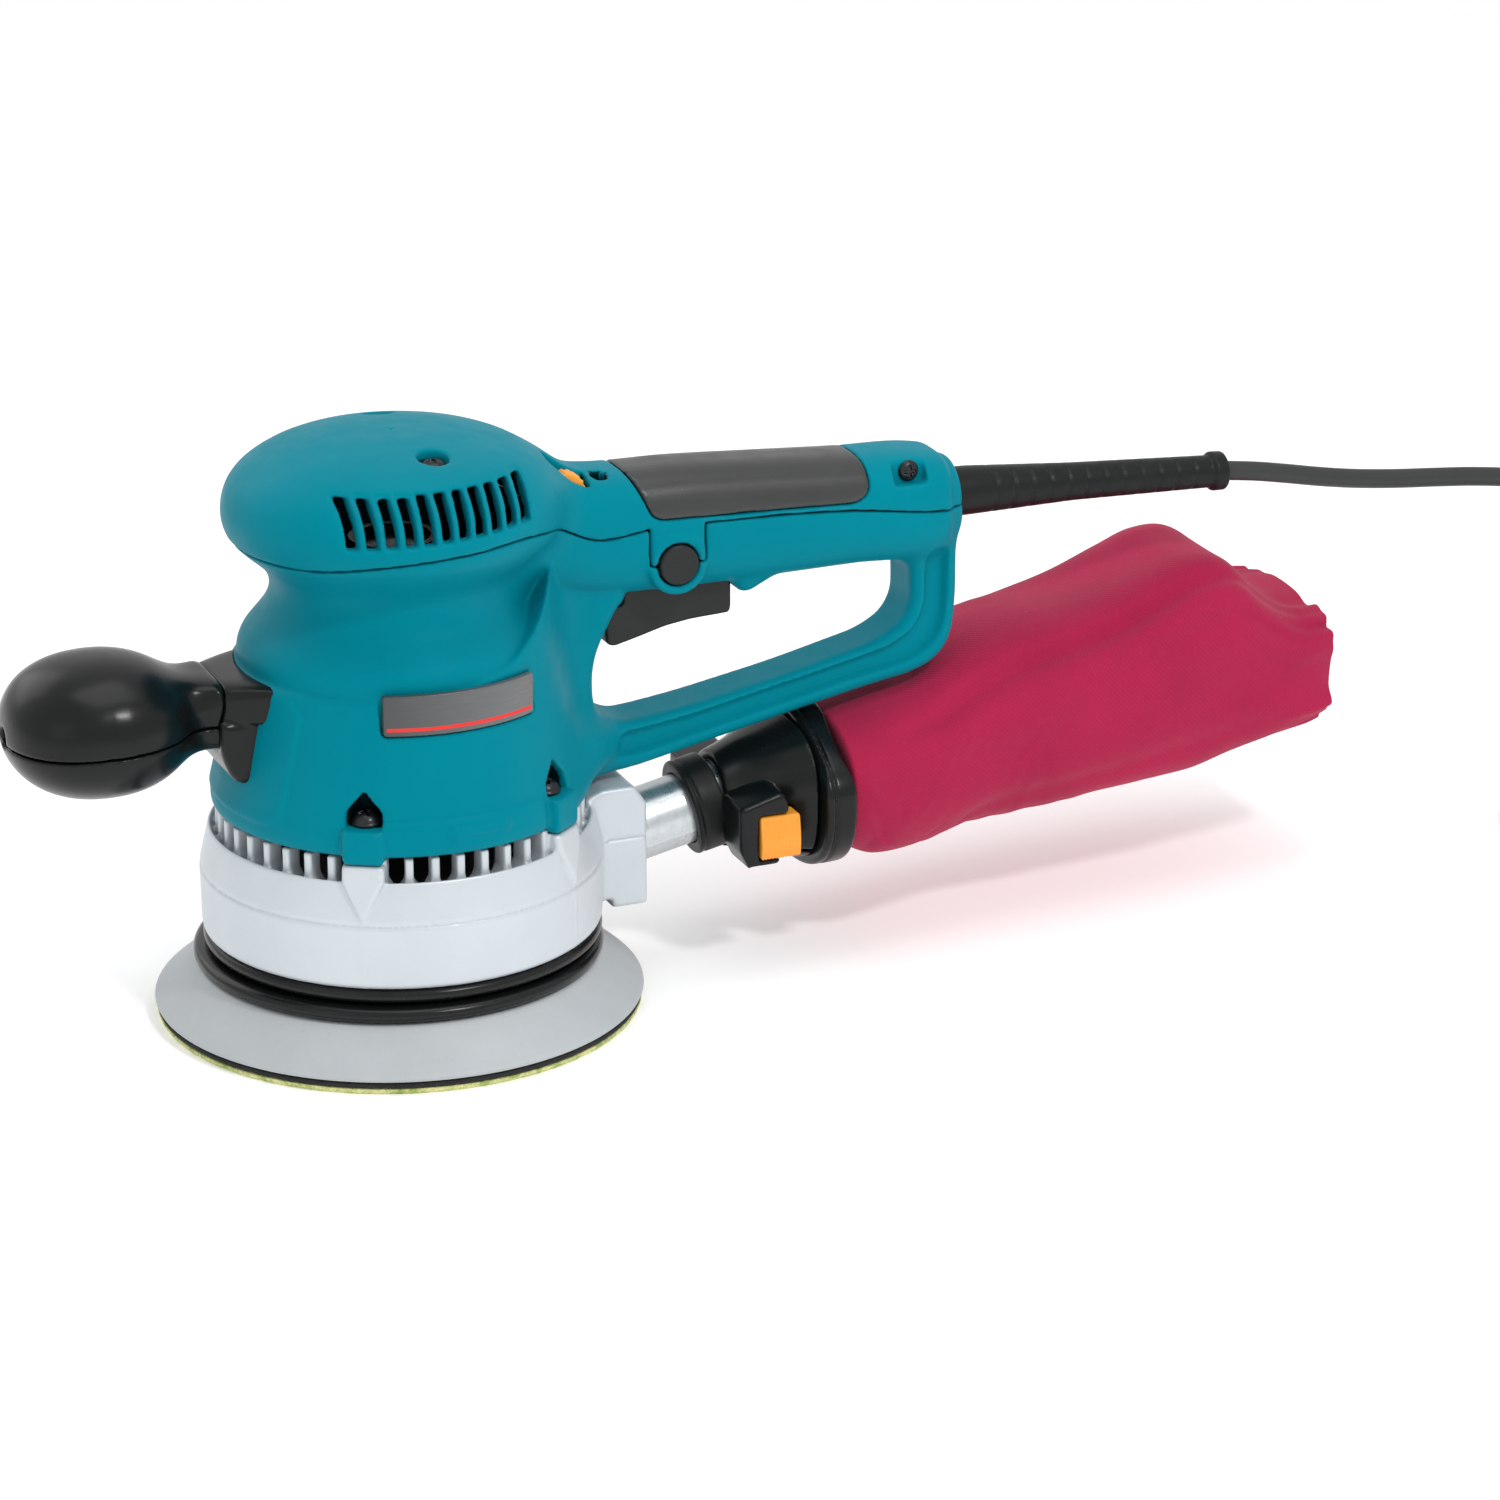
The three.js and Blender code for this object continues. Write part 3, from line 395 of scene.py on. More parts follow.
class Shader:
    """A material, with short calls for the nodes that the finishes use."""

    def __init__(self, name):
        self.material = bpy.data.materials.new(name)
        self.material.use_nodes = True
        self.nodes = self.material.node_tree.nodes
        self.link = self.material.node_tree.links.new
        self.bsdf = self.nodes["Principled BSDF"]
        self.at = self.node("TexCoord").outputs["Object"]

    def feed(self, sockets, values):
        """Each value is a number, a colour or the output that feeds the socket."""
        for key, value in values.items():
            if hasattr(value, "is_output"):
                self.link(value, sockets[key])
            else:
                sockets[key].default_value = value

    def node(self, kind, values=None, **settings):
        node = self.nodes.new("ShaderNode" + kind)
        for name, value in settings.items():
            setattr(node, name, value)
        self.feed(node.inputs, values or {})
        return node

    def noise(self, scale, detail=3.0, roughness=0.55, stretch=None):
        at = self.at
        if stretch:
            at = self.node("Mapping", {"Vector": at, "Scale": stretch}).outputs["Vector"]
        values = {"Vector": at, "Scale": scale, "Detail": detail, "Roughness": roughness}
        return self.node("TexNoise", values).outputs["Fac"]

    def ramp(self, value, low, high, a=0, b=1):
        values = {"Value": value, "From Min": low, "From Max": high, "To Min": a, "To Max": b}
        return self.node("MapRange", values).outputs["Result"]

    def mix(self, factor, a, b):
        values = {"A": a, "B": b, "Factor": factor}
        return self.node("Mix", values, data_type="RGBA").outputs["Result"]

    def math(self, operation, *values):
        return self.node("Math", dict(enumerate(values)), operation=operation).outputs[0]

    def finish(self, colour, roughness, bumps=(), settings=None):
        """Feeds the surface; each bump is (height, strength, distance in metres)."""
        self.feed(self.bsdf.inputs, {"Base Color": colour, "Roughness": roughness})
        self.feed(self.bsdf.inputs, settings or {})
        chain = {}
        for height, strength, distance in bumps:
            values = {"Height": height, "Strength": strength, "Distance": distance, **chain}
            chain = {"Normal": self.node("Bump", values).outputs["Normal"]}
        self.feed(self.bsdf.inputs, chain)
        return self.material


def moulded(name, colour, rough=0.45, metal=0.0, mottle=0.05, grain=0.25, grain_scale=2600,
            wear=0.35, spread=0.06, specular=0.5, crease_darkening=0.0, tint=None):
    """Moulded or cast surface: faint clouding, fine spark grain, paler worn edges.

    Points whose "inner" attribute is 1 lie inside a shell and get painted shade: they are made
    nearly black.
    """
    s = Shader(name)
    cloud = s.noise(34, 4)
    tone = s.mix(s.ramp(cloud, 0.3, 0.7), shade(colour, 1 - mottle), shade(colour, 1 + mottle))
    speck = s.ramp(s.noise(grain_scale * 0.4, 2), 0.62, 0.8, 0, mottle * 2.4)
    tone = s.mix(speck, tone, shade(colour, 0.55))
    edge = s.node("NewGeometry").outputs["Pointiness"]
    scuff = s.ramp(s.noise(420, 5, 0.7), 0.42, 0.6)
    pale = tuple(c + (0.75 - c) * 0.35 for c in colour[:3]) + (1.0,)
    tone = s.mix(s.math("MULTIPLY", s.ramp(edge, 0.53, 0.62, 0, wear), scuff), tone, pale)
    # darker in concave creases, in patches, by the given amount
    if crease_darkening:
        patchy = s.ramp(cloud, 0.3, 0.6, 0.3, 1)
        darker_in_creases = s.math("MULTIPLY", s.ramp(edge, 0.5, 0.42, 0, crease_darkening), patchy)
        tone = s.mix(darker_in_creases, tone, shade(colour, 0.35))
    # painted shade: points marked "inner" are mixed to nearly black
    inner = s.node("Attribute", attribute_name="inner").outputs["Fac"]
    tone = s.mix(inner, tone, shade(colour, 0.07))
    settings = {"Metallic": metal, "Specular IOR Level": specular}
    if tint:
        settings["Specular Tint"] = tint
    rough = s.ramp(s.noise(120, 5), 0.3, 0.7, rough - spread, rough + spread)
    wave, fine = s.noise(55, 2), s.noise(grain_scale, 2, 0.6)
    return s.finish(tone, rough, [(wave, 0.12, 0.0006), (fine, grain, 0.00012)], settings)


def turned_metal(name, colour, rough, metal, lines_along=(1, 1, 60)):
    """Machined or drawn metal: fine lines along one direction, small scratches."""
    s = Shader(name)
    lines = s.noise(90, 4, 0.7, lines_along)
    spots = s.noise(260, 4, 0.7)
    tone = s.mix(s.ramp(lines, 0.3, 0.7), shade(colour, 0.86), shade(colour, 1.08))
    tone = s.mix(s.ramp(spots, 0.6, 0.75, 0, 0.35), tone, shade(colour, 0.6))
    rough = s.ramp(spots, 0.3, 0.7, rough - 0.07, rough + 0.1)
    bumps = [(lines, 0.15, 0.0001), (spots, 0.1, 0.00006)]
    return s.finish(tone, rough, bumps, {"Metallic": metal})


def grit_material(name):
    """Coated abrasive: yellow-green backing with dense grain."""
    s = Shader(name)
    grains = s.node("TexVoronoi", {"Scale": 1600, "Vector": s.at}).outputs["Distance"]
    patches = s.noise(210, 5, 0.75)
    tone = s.mix(s.ramp(patches, 0.42, 0.62), srgb(226, 224, 158), srgb(148, 170, 84))
    tone = s.mix(s.ramp(grains, 0.1, 0.5, 0.45, 0), tone, srgb(70, 92, 52))
    return s.finish(tone, 0.9, [(grains, 0.8, 0.0003), (patches, 0.3, 0.0003)])


def cloth_material(name):
    """Crimson plain-woven cloth: the threads follow the bag's own UV lines."""
    s = Shader(name)
    uv = s.node("UVMap", uv_map="weave").outputs["UV"]
    across, along = (
        s.math("SINE", s.math("MULTIPLY_ADD", socket, math.pi, 0.0))
        for socket in s.node("SeparateXYZ", {0: uv}).outputs[:2]
    )
    weave = s.math("MULTIPLY", across, along)
    slub = s.noise(700, 3, 0.7)
    cloud = s.noise(26, 4)
    crimson = srgb(170, 26, 70)
    tone = s.mix(s.ramp(cloud, 0.3, 0.7), shade(crimson, 0.9), shade(crimson, 1.08))
    tone = s.mix(s.ramp(weave, -0.9, 0.9, 0.22, 0), tone, shade(crimson, 0.55))
    tone = s.mix(s.ramp(slub, 0.55, 0.8, 0, 0.25), tone, shade(crimson, 1.35))
    settings = {
        "Sheen Weight": 0.12, "Sheen Roughness": 0.5, "Sheen Tint": (1.0, 0.75, 0.82, 1.0),
        "Specular IOR Level": 0.2,
    }
    return s.finish(tone, 0.86, [(slub, 0.25, 0.0003), (weave, 0.35, 0.00012)], settings)


def badge_material(name):
    """Brushed dark grey plate, made paler to the right by a painted reflection, with a red line
    near its lower edge.
    """
    s = Shader(name)
    place = s.node("SeparateXYZ", {0: s.at}).outputs
    lines = s.noise(120, 3, 0.7, (1, 1, 40))
    # painted reflection: the plate is made paler towards +X
    tone = s.mix(s.ramp(place["X"], -0.02, 0.028), srgb(76, 77, 78), srgb(120, 121, 122))
    tone = s.mix(s.ramp(lines, 0.3, 0.7, 0, 0.35), tone, srgb(70, 71, 72))
    low = s.math("COMPARE", place["Z"], 0.1053, 0.00055)
    inside = s.math("COMPARE", place["X"], 0.004, 0.0232)
    tone = s.mix(s.math("MULTIPLY", low, inside), tone, srgb(226, 44, 40))
    rough = s.ramp(lines, 0.3, 0.7, 0.28, 0.42)
    return s.finish(tone, rough, [(lines, 0.2, 0.00008)], {"Metallic": 0.35})


MOULDED = {
    "teal_plastic": dict(
        colour=srgb(0, 126, 143), rough=0.5, mottle=0.035, grain=0.16, wear=0.12, specular=0.14,
        crease_darkening=0.3, tint=(0.12, 0.75, 0.85, 1.0),
    ),
    "black_plastic": dict(
        colour=srgb(16, 18, 18), rough=0.25, mottle=0.06, grain=0.12, wear=0.0, spread=0.03,
        specular=0.26,
    ),
    "dark_plastic": dict(
        colour=srgb(36, 38, 38), rough=0.42, mottle=0.08, grain=0.3, wear=0.0, specular=0.25,
    ),
    "grey_plastic": dict(
        colour=srgb(178, 183, 186), rough=0.55, grain=0.6, grain_scale=1300, wear=0.25, crease_darkening=0.3,
    ),
    "orange_plastic": dict(
        colour=srgb(243, 158, 48), rough=0.4, mottle=0.04, grain=0.2, wear=0.2,
    ),
    "rubber": dict(
        colour=srgb(25, 27, 27), rough=0.42, mottle=0.12, grain=0.4, grain_scale=1800, wear=0.0,
        spread=0.08, specular=0.2,
    ),
    "rubber_gloss": dict(
        colour=srgb(18, 20, 20), rough=0.24, mottle=0.1, grain=0.1, wear=0.0, specular=0.3,
    ),
    "grip_rubber": dict(
        colour=srgb(52, 54, 53), rough=0.34, mottle=0.08, grain=0.3, grain_scale=1500, wear=0.0,
        specular=0.45,
    ),
    "cord_rubber": dict(
        colour=srgb(42, 44, 44), rough=0.5, mottle=0.08, grain=0.3, grain_scale=1500, wear=0.0,
    ),
    "cast_aluminium": dict(
        colour=srgb(203, 210, 215), rough=0.42, metal=0.3, mottle=0.03, grain=0.5,
        grain_scale=1700, wear=0.2, crease_darkening=0.35,
    ),
    "pad_foam": dict(
        colour=srgb(30, 32, 31), rough=0.9, mottle=0.3, grain=1.0, grain_scale=900, wear=0.2,
    ),
}
# colour, roughness, how metallic, and the direction of the lines where it isn't upright
TURNED = {
    "pipe_aluminium": (srgb(205, 210, 213), 0.3, 0.85, (60, 1, 1)),
    "steel": (srgb(120, 123, 126), 0.3, 0.95),
    "black_steel": (srgb(52, 54, 56), 0.32, 0.8),
    "motor_iron": (srgb(115, 118, 122), 0.45, 0.85),
    "copper_parts": (srgb(184, 110, 62), 0.3, 1.0, (1, 1, 120)),
    "brass_parts": (srgb(196, 166, 92), 0.28, 1.0),
}
MATERIALS = {name: moulded(name, **look) for name, look in MOULDED.items()}
MATERIALS.update({name: turned_metal(name, *look) for name, look in TURNED.items()})
MATERIALS.update({
    "abrasive": grit_material("abrasive"), "crimson_cloth": cloth_material("crimson_cloth"),
    "badge_plate": badge_material("badge_plate"),
})


def dress(ob, material, body, slot, *nodes):
    """Gives a piece its material and body and hides the CAD nodes that it stands for; slot is not
    used.
    """
    ob.data.materials.clear()
    ob.data.materials.append(MATERIALS[material])
    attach(ob, body)
    if nodes:
        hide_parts(*nodes)
    return ob


def piece(name, g, d, material, node, body="tool", slot=None, rounds=2):
    """Meshes a field and dresses it as the finished form of one CAD node."""
    return dress(carve(name, g, d, rounds), material, body, slot or material, node)


# ---- motor housing and top cover ----
SKIRT_Z = 67.5
# height of the joint between the cover and the motor housing, along X
PARTING_X = [-52, -40, -18, 8, 28, 38, 58, 77, 95, 142, 175, 190]
PARTING_Z = [151, 151.3, 154.4, 156.4, 156.8, 154.6, 145.2, 146.1, 146, 143.9, 140.1, 140]
SCREW_ANGLES = (-29.5, 39.5)
SCREW_CIRCLE = 49.5
SCREW_SEAT_Z = 76.2
SCREW_OUT = 1.03  # the heads sit a little outside the CAD's screw circle
NICHE_HALF = 5.4
LOWER_BODY = [
    (0, SKIRT_Z), (56.2, SKIRT_Z), (57, 68.6), (57.2, 71), (56.7, 73.6), (55.6, 78), (53.4, 90),
    (51.1, 102), (50, 108), (49.6, 112), (48.6, 122), (47.4, 134), (46.4, 150), (0, 150),
]
# top edge of the lower body: the palm's hollow is sunk in above it
CREASE_X = [-60, -20, 0, 14, 26, 35, 41, 46, 60]
CREASE_Z = [113, 113, 114, 117, 122.5, 130, 139, 149, 150]
NECK = [
    (0, 106), (47.2, 106), (47.9, 112), (47.8, 117), (46.2, 121), (43, 124.8), (40, 128.4),
    (38, 132), (37.2, 135.6), (37.7, 139), (39.6, 142.4), (42.8, 145.4), (46.6, 148.6),
    (49.6, 151.8), (50.8, 155), (51.2, 158.4), (50.7, 162.4), (49.2, 166.4), (46.4, 170),
    (42.6, 173), (38.2, 175.6), (32.8, 177.8), (26.6, 179.4), (20, 180.6), (12, 181.5), (0, 181.8),
]
ROOM = [
    (0, 66), (53.6, 66), (53.2, 74), (49.4, 92), (46, 110), (43.2, 119), (36.6, 127), (34, 134),
    (35.8, 141), (43.6, 149.5), (46.8, 157), (45, 163.6), (37, 171.4), (22, 176.8), (0, 178.4),
]
GRIP = [
    (16, 0, 147, 24, 20, 2.2), (44, 0, 146, 20, 19.6, 2.5), (64, 0, 143.6, 17.8, 19.2, 3),
    (90, 0, 142.8, 17, 19.4, 3), (116, 0, 142, 16.6, 18.6, 3), (146, 0, 141.2, 16.6, 17.4, 3),
    (171, 0, 140.6, 16.6, 16.6, 3), (177, 0, 140.8, 16, 15.4, 2.8),
]
GRIP_ROOM = [
    (10, 0, 147, 16, 14.6, 2.6), (64, 0, 143.6, 14.6, 16, 2.8), (116, 0, 142, 13.6, 15.4, 2.8),
    (170, 0, 140.8, 13.8, 13, 2.8),
]
LOOP = [
    (40, 67.4), (60, 66.6), (72, 67.4), (92, 71.6), (126, 78.6), (152, 83.8), (166, 86),
    (174.4, 89.4), (179.6, 96.4), (181, 108), (181, 140), (165, 140), (165.4, 109),
    (162, 102.6), (154, 98), (124, 91), (92, 85.2), (76, 83.2), (66, 82.6), (58, 83.4), (40, 86),
]
LOOP_PANEL = [
    (66, 71.4), (77, 72.6), (92, 75.8), (111, 79.8), (147, 87.2), (163, 89.8), (171, 93),
    (176, 99.4), (177.4, 108), (177.6, 128), (169.6, 128), (169.4, 108), (165.6, 100.6),
    (157, 96.2), (137, 92), (111, 86.8), (92, 83), (76, 80.8), (66, 80),
]
SPINE = [
    (36, 73), (58.6, 73), (58.2, 98), (59.2, 104), (61.4, 110), (64.6, 116), (66.8, 120.4),
    (69.6, 122.8), (70, 131), (36, 131),
]
HUMP = [(106, 130), (106.4, 122), (108.6, 119.6), (112, 119.8), (118, 123.8), (119, 130)]
TONGUE = [(75.4, 152), (75.4, 134.4), (93.6, 134.4), (93.6, 152)]
LOCK_AT = (84.5, 134.2)
GRIP_SCREW = (163.0, 153.8)
DIAL_AT = (51, -9, 159.4)
INLAY = [
    (66.5, 190), (68.6, 166), (72.6, 158), (76, 150), (79, 148.4), (144, 146), (148.4, 149.2),
    (148, 160), (144.6, 190),
]
COVER_SCREWS = ((4.4, -25), (4.4, 25))
YOKE_PAD_HALF = 31
PART_SEAM = 0.22


def screw_spots():
    near = [
        (SCREW_CIRCLE * math.sin(math.radians(a)), -SCREW_CIRCLE * math.cos(math.radians(a)))
        for a in SCREW_ANGLES
    ]
    return near + [(x, -y) for x, y in near]


def grown_body(g, by):
    """The lower body, turned with a wider or narrower radius."""
    return lathe(g, [(r + by if r else 0, z) for r, z in LOWER_BODY])


def housing_outside(g):
    """The whole plastic shell from outside, as one moulded shape."""
    lower = lathe(g, rounded_outline(LOWER_BODY, 1.5))
    # a raised pad around the knob's foot, on the front
    raised = grown_body(g, 0.7)
    around = meet(np.abs(g.y) - YOKE_PAD_HALF, np.abs(g.z - 92) - 19, 6)
    pad = meet(raised, meet(around, g.x + 12, 0), 0.5)
    lower = join(lower, pad, 0.4)
    spine = slab(g, rounded_outline(SPINE, 3), 13, 4)
    lower = join(lower, spine, 12)
    root = loft(g, [(30, 0, 80, 32, 9, 3), (58, 0, 79, 20, 7, 3), (67, 0, 78.6, 12, 5, 2.6)], 3)
    lower = join(lower, root, 8)
    crease = along_x(g, hermite(g.x[:, 0, 0], CREASE_X, CREASE_Z))
    lower = meet(lower, g.z - crease, 1.3)
    neck = lathe(g, rounded_outline(NECK, 2))
    grip = loft(g, GRIP, 3.2)
    rear = rod(g, (170, 0, 141), (181.6, 0, 141), 13.6, 12.4, 3)
    grip = join(grip, rear, 2.0)
    upper = join(neck, grip, 9)
    body = join(upper, lower, 1.2)
    loop = slab(g, rounded_outline(LOOP, 9), 10, 3.4)
    panel = polygon(g.x, g.z, rounded_outline(LOOP_PANEL, 4))
    depth = 3.2 * np.clip(-panel / 1.7, 0, 1) ** 0.7
    loop = np.maximum(loop, np.abs(g.y) - 10 + depth)
    body = join(body, loop, 6)
    body = join(body, slab(g, rounded_outline(HUMP, 3), 10, 3), 4)
    # collar around the lock button, below the cover's tongue
    collar = rod(g, (LOCK_AT[0], -17.9, LOCK_AT[1]), (LOCK_AT[0], 0, LOCK_AT[1]), 9.6, edge=1.2)
    return join(body, collar, 1.5)


def radial(g, x, y):
    """Distances along the radius through a screw, and sideways from it."""
    r = math.hypot(x, y)
    return (g.x * x + g.y * y) / r, np.abs((g.y * x - g.x * y) / r)


def screw_block(g, x, y, half, near, far, z0, z1, edge=0.0):
    """A block across a skirt screw's radius: half width, radii and heights."""
    out, across = radial(g, x, y)
    d = meet(across - half, np.abs(out - (near + far) / 2) - (far - near) / 2, edge)
    return meet(d, np.abs(g.z - (z0 + z1) / 2) - (z1 - z0) / 2, edge)


def screw_niche(g, x, y):
    """The open, pointed niche above a skirt screw's seat."""
    across = radial(g, x, y)[1]
    x, y = x * SCREW_OUT, y * SCREW_OUT
    well = np.hypot(g.x - x, g.y - y) - NICHE_HALF
    mouth = screw_block(g, x, y, NICHE_HALF, SCREW_CIRCLE, 66, 60, 100)
    arch = across + (g.z - 80.8) * 0.86 - NICHE_HALF
    d = meet(join(well, mouth), arch, 0.8)
    return meet(d, SCREW_SEAT_Z - g.z, 0.3)


def housing_inside(g):
    room = lathe(g, ROOM)
    room = join(room, loft(g, GRIP_ROOM), 3)
    room = join(room, box(g, (72, -11.4, 128.8), (153, 11.4, 153)))
    room = join(room, rod(g, (150, 0, 141), (176.6, 0, 141), 10.4))
    return join(room, rod(g, (176, 0, 141), (190, 0, 141), 8.3))


def parting(g):
    """Positive above the joint between the cover and the motor housing."""
    line = g.z - along_x(g, hermite(g.x[:, 0, 0], PARTING_X, PARTING_Z))
    tongue = meet(polygon(g.x, g.z, TONGUE), np.maximum(g.y + 12.6, -35 - g.y), 0)
    return np.maximum(line, -tongue)


def arrow_relief(g):
    """A raised double arrow on the skirt, for the turning direction."""
    angle = math.radians(6)
    across = g.x * math.cos(angle) + g.y * math.sin(angle)
    arrow = [
        (-11, 74.4), (-7, 71.6), (-7, 73.4), (7, 73.4), (7, 71.6), (11, 74.4), (7, 77.2),
        (7, 75.4), (-7, 75.4), (-7, 77.2),
    ]
    flat = polygon(across, g.z + 0 * g.x, arrow)
    return np.maximum(flat, g.y)


def seam_lines(g, body):
    """Fine raised rim at the skirt between the two front screws."""
    raised = grown_body(g, 0.8)
    band = meet(np.abs(g.z - 72.9) - 5.2, np.abs(g.x - 3) - 26, 1.6)
    return join(body, meet(raised, meet(band, g.y + 20, 0), 0.3), 0.35)


def add_housing():
    g = Block((-60, -60, 63.5), (186, 60, 184), 0.72, 1.1)
    outside = housing_outside(g)
    outside = seam_lines(g, outside)
    outside = join(outside, meet(grown_body(g, 1.6), arrow_relief(g), 0.25), 0.3)
    inside = housing_inside(g)
    shell = cut(outside, inside)
    # trigger slot with a curved front wall, badge seat, lower seat and screw pockets
    slot = box(g, (63.7, -6.6, 104), (107, 6.6, 134), 1.2)
    shell = cut(shell, slot, 1.0)
    seat = meet(rod(g, (0, 0, 67.5 - 5), (0, 0, 72.4), 54.2), g.z - 72.4, 0)
    shell = cut(shell, seat, 0.3)
    for x, y in screw_spots():
        wall = meet(rod(g, (x, y, 66.4), (x, y, 88), 6.9), np.hypot(g.x, g.y) - 54.4, 0)
        shell = join(shell, meet(wall, outside + 0.2 * (g.z > 70), 0), 0.5)
        shell = join(shell, screw_block(g, x, y, 6.2, 45, 59.2, 65.6, 77.2, 1.6), 0.6)
    for x, y in screw_spots():
        shell = cut(shell, screw_niche(g, x, y), 0.5)
        x, y = x * SCREW_OUT, y * SCREW_OUT
        shell = cut(shell, rod(g, (x, y, 58), (x, y, 80), 2.6))
    gx, gz = GRIP_SCREW
    boss = meet(slab(g, [(gx - 7, 146), (gx + 7, 146), (gx + 7, 160), (gx - 7, 160)], 16), outside)
    shell = join(shell, meet(boss, np.abs(g.y + 12) - 5, 0), 0)
    badge = badge_field(g, 0.3)
    shell = cut(shell, badge, 0.3)
    lock = rod(g, (LOCK_AT[0], -24, LOCK_AT[1]), (LOCK_AT[0], -7.5, LOCK_AT[1]), 6.8)
    shell = cut(shell, lock, 0.5)
    part = parting(g)
    lower = cut(shell, -part - PART_SEAM, 0.35)
    # painted shade: the shell's inner side is marked to be painted nearly black
    shadow(piece("motor_housing_shell", g, lower, "teal_plastic", "motor_housing"), g, inside)
    upper = cut(shell, part - PART_SEAM, 0.35)
    for i in range(11):
        x, z = -26.4 + 5.36 * i, 166.0 + 0.15 * i
        half = 6.5 - 0.07 * i
        across = g.x - x - (g.z - z) * (0.0116 * i - 0.02)
        for side in (-1, 1):
            outward = 22 - side * g.y
            vent = meet(np.abs(across) - 1.6, np.abs(g.z - z) - half, 0.2)
            upper = cut(upper, np.maximum(vent, outward), 0.2)
            lip = meet(np.abs(across + 0.3) - 2.2, np.abs(g.z - z - 0.3) - half - 0.7, 0.6)
            skin = np.abs(outside + 0.1) - 0.45
            upper = cut(upper, np.maximum(meet(lip, skin, 0), outward), 0.4)
    for x, y in COVER_SCREWS:
        upper = cut(upper, rod(g, (x, y, 176.4), (x, y, 190), 4.6, 5.4), 0.8)
        upper = cut(upper, rod(g, (x, y, 150), (x, y, 190), 2.2))
    window = box(g, (44.6, -12.8, 154), (58, -5.2, 182), 0.4)
    upper = cut(upper, window, 0.4)
    hole = rod(g, (62.4, -7.4, 158), (62.4, -7.4, 182), 2.6)
    upper = cut(upper, hole, 0.5)
    mouth = [(-6.6, -4.2), (4.6, -4.2), (4.6, 2.6), (1.6, 5.4), (-3.6, 5.4), (-6.6, 2.6)]
    mouth = rounded_outline([(gx + x, gz + z) for x, z in mouth], 1.6)
    recess = slab(g, mouth, 8, 0.4, -19.2)
    upper = cut(upper, recess, 0.5)
    inlay = slab(g, rounded_outline(INLAY, 4), 32)
    upper = cut(upper, meet(inlay, -outside - 2.4), 0.4)
    # painted shade: the inner side (not at the screw boss) and the walls of the dial window and
    # the hole beside it are marked to be painted nearly black
    hollow = np.minimum(np.maximum(inside, -boss), np.minimum(window, hole) + 0.75)
    shadow(piece("top_cover_shell", g, upper, "teal_plastic", "top_cover"), g, hollow)
    pad = cut(meet(outside, inlay + 0.35, 0.5), outside + 2.2)
    piece("grip_inlay_pad", g, pad, "grip_rubber", "grip_inlay", rounds=1)


def shadow(ob, g, inside):
    """Marks the points on a shell's inner side for painted shade: 1 there, 0 outside; the
    materials make them nearly black.
    """
    points = np.empty(len(ob.data.vertices) * 3, np.float32)
    ob.data.vertices.foreach_get("co", points)
    at = np.rint((points.reshape(-1, 3) / MM - g.low) / g.step).astype(int)
    at = np.clip(at, 0, np.array(inside.shape) - 1)
    near = inside[at[:, 0], at[:, 1], at[:, 2]]
    # painted shade: the "inner" attribute makes these points nearly black in the materials
    mark = ob.data.attributes.new("inner", "FLOAT", "POINT")
    mark.data.foreach_set("value", (near < 0.9).astype(np.float32))


def badge_field(g, grow):
    """A thin curved plate on the -Y side of the body."""
    r = np.sqrt(g.x ** 2 + g.y ** 2)
    arc = g.x + 0 * g.y
    plate = meet(np.abs(arc - 4) - 24 - grow, np.abs(g.z - 109.4) - 6.2 - grow, 0.9)
    skin = np.abs(r - 50.1) - 1.1 - grow
    return np.maximum(meet(plate, skin, 0.15), g.y + 20)


# ---- floor and lights ----
WHITE = (1.0, 1.0, 1.0, 1.0)
SKY = 0.77
LIT_POINT = (0.08, 0, 0.08)
# name, place, size, power and colour
LAMPS = [
    ("key", (0.3, -0.85, 1.0), 0.13, 4.6, (1.0, 1.0, 0.99)),
    ("top", (0.1, -0.05, 1.3), 0.8, 3.4, (1.0, 1.0, 1.0)),
    ("fill", (-0.9, -0.6, 0.5), 0.5, 0.3, (0.98, 0.99, 1.0)),
    ("rim", (-0.5, 0.9, 0.7), 0.7, 1.4, (1.0, 1.0, 1.0)),
]


def add_studio():
    bpy.ops.mesh.primitive_plane_add(size=40)
    floor = bpy.context.object
    floor.name = "floor"
    s = Shader("floor")
    tone = s.mix(s.noise(3, 3), (0.93, 0.93, 0.93, 1), (0.96, 0.96, 0.96, 1))
    floor.data.materials.append(s.finish(tone, 0.8, settings={
        "Specular IOR Level": 0.1, "Emission Color": WHITE, "Emission Strength": 0.2,
    }))
    world = bpy.data.worlds.new("studio")
    world.use_nodes = True
    background = world.node_tree.nodes["Background"].inputs
    background["Color"].default_value = WHITE
    background["Strength"].default_value = SKY
    scene.world = world
    for name, at, size, power, colour in LAMPS:
        data = bpy.data.lights.new(name, "AREA")
        data.size = size
        data.energy = power
        data.color = colour
        lamp = bpy.data.objects.new(name, data)
        lamp.location = at
        aim = Vector(LIT_POINT) - Vector(at)
        lamp.rotation_euler = aim.to_track_quat("-Z", "Y").to_euler()
        scene.collection.objects.link(lamp)
    scene.view_settings.view_transform = "Standard"
    scene.view_settings.look = "None"


def dress_nodes():
    """Every CAD node that stays in sight or inside gets a procedural finish."""
    plain = MATERIALS["black_plastic"]
    finish = {**MATERIALS, "badge_plate": plain}
    slots = {p["node"]: p["material_slot"] for p in frame["record"]["subparts"]}
    for name, ob in frame["nodes"].items():
        ob.data.materials.clear()
        ob.data.materials.append(finish.get(slots.get(name), plain))


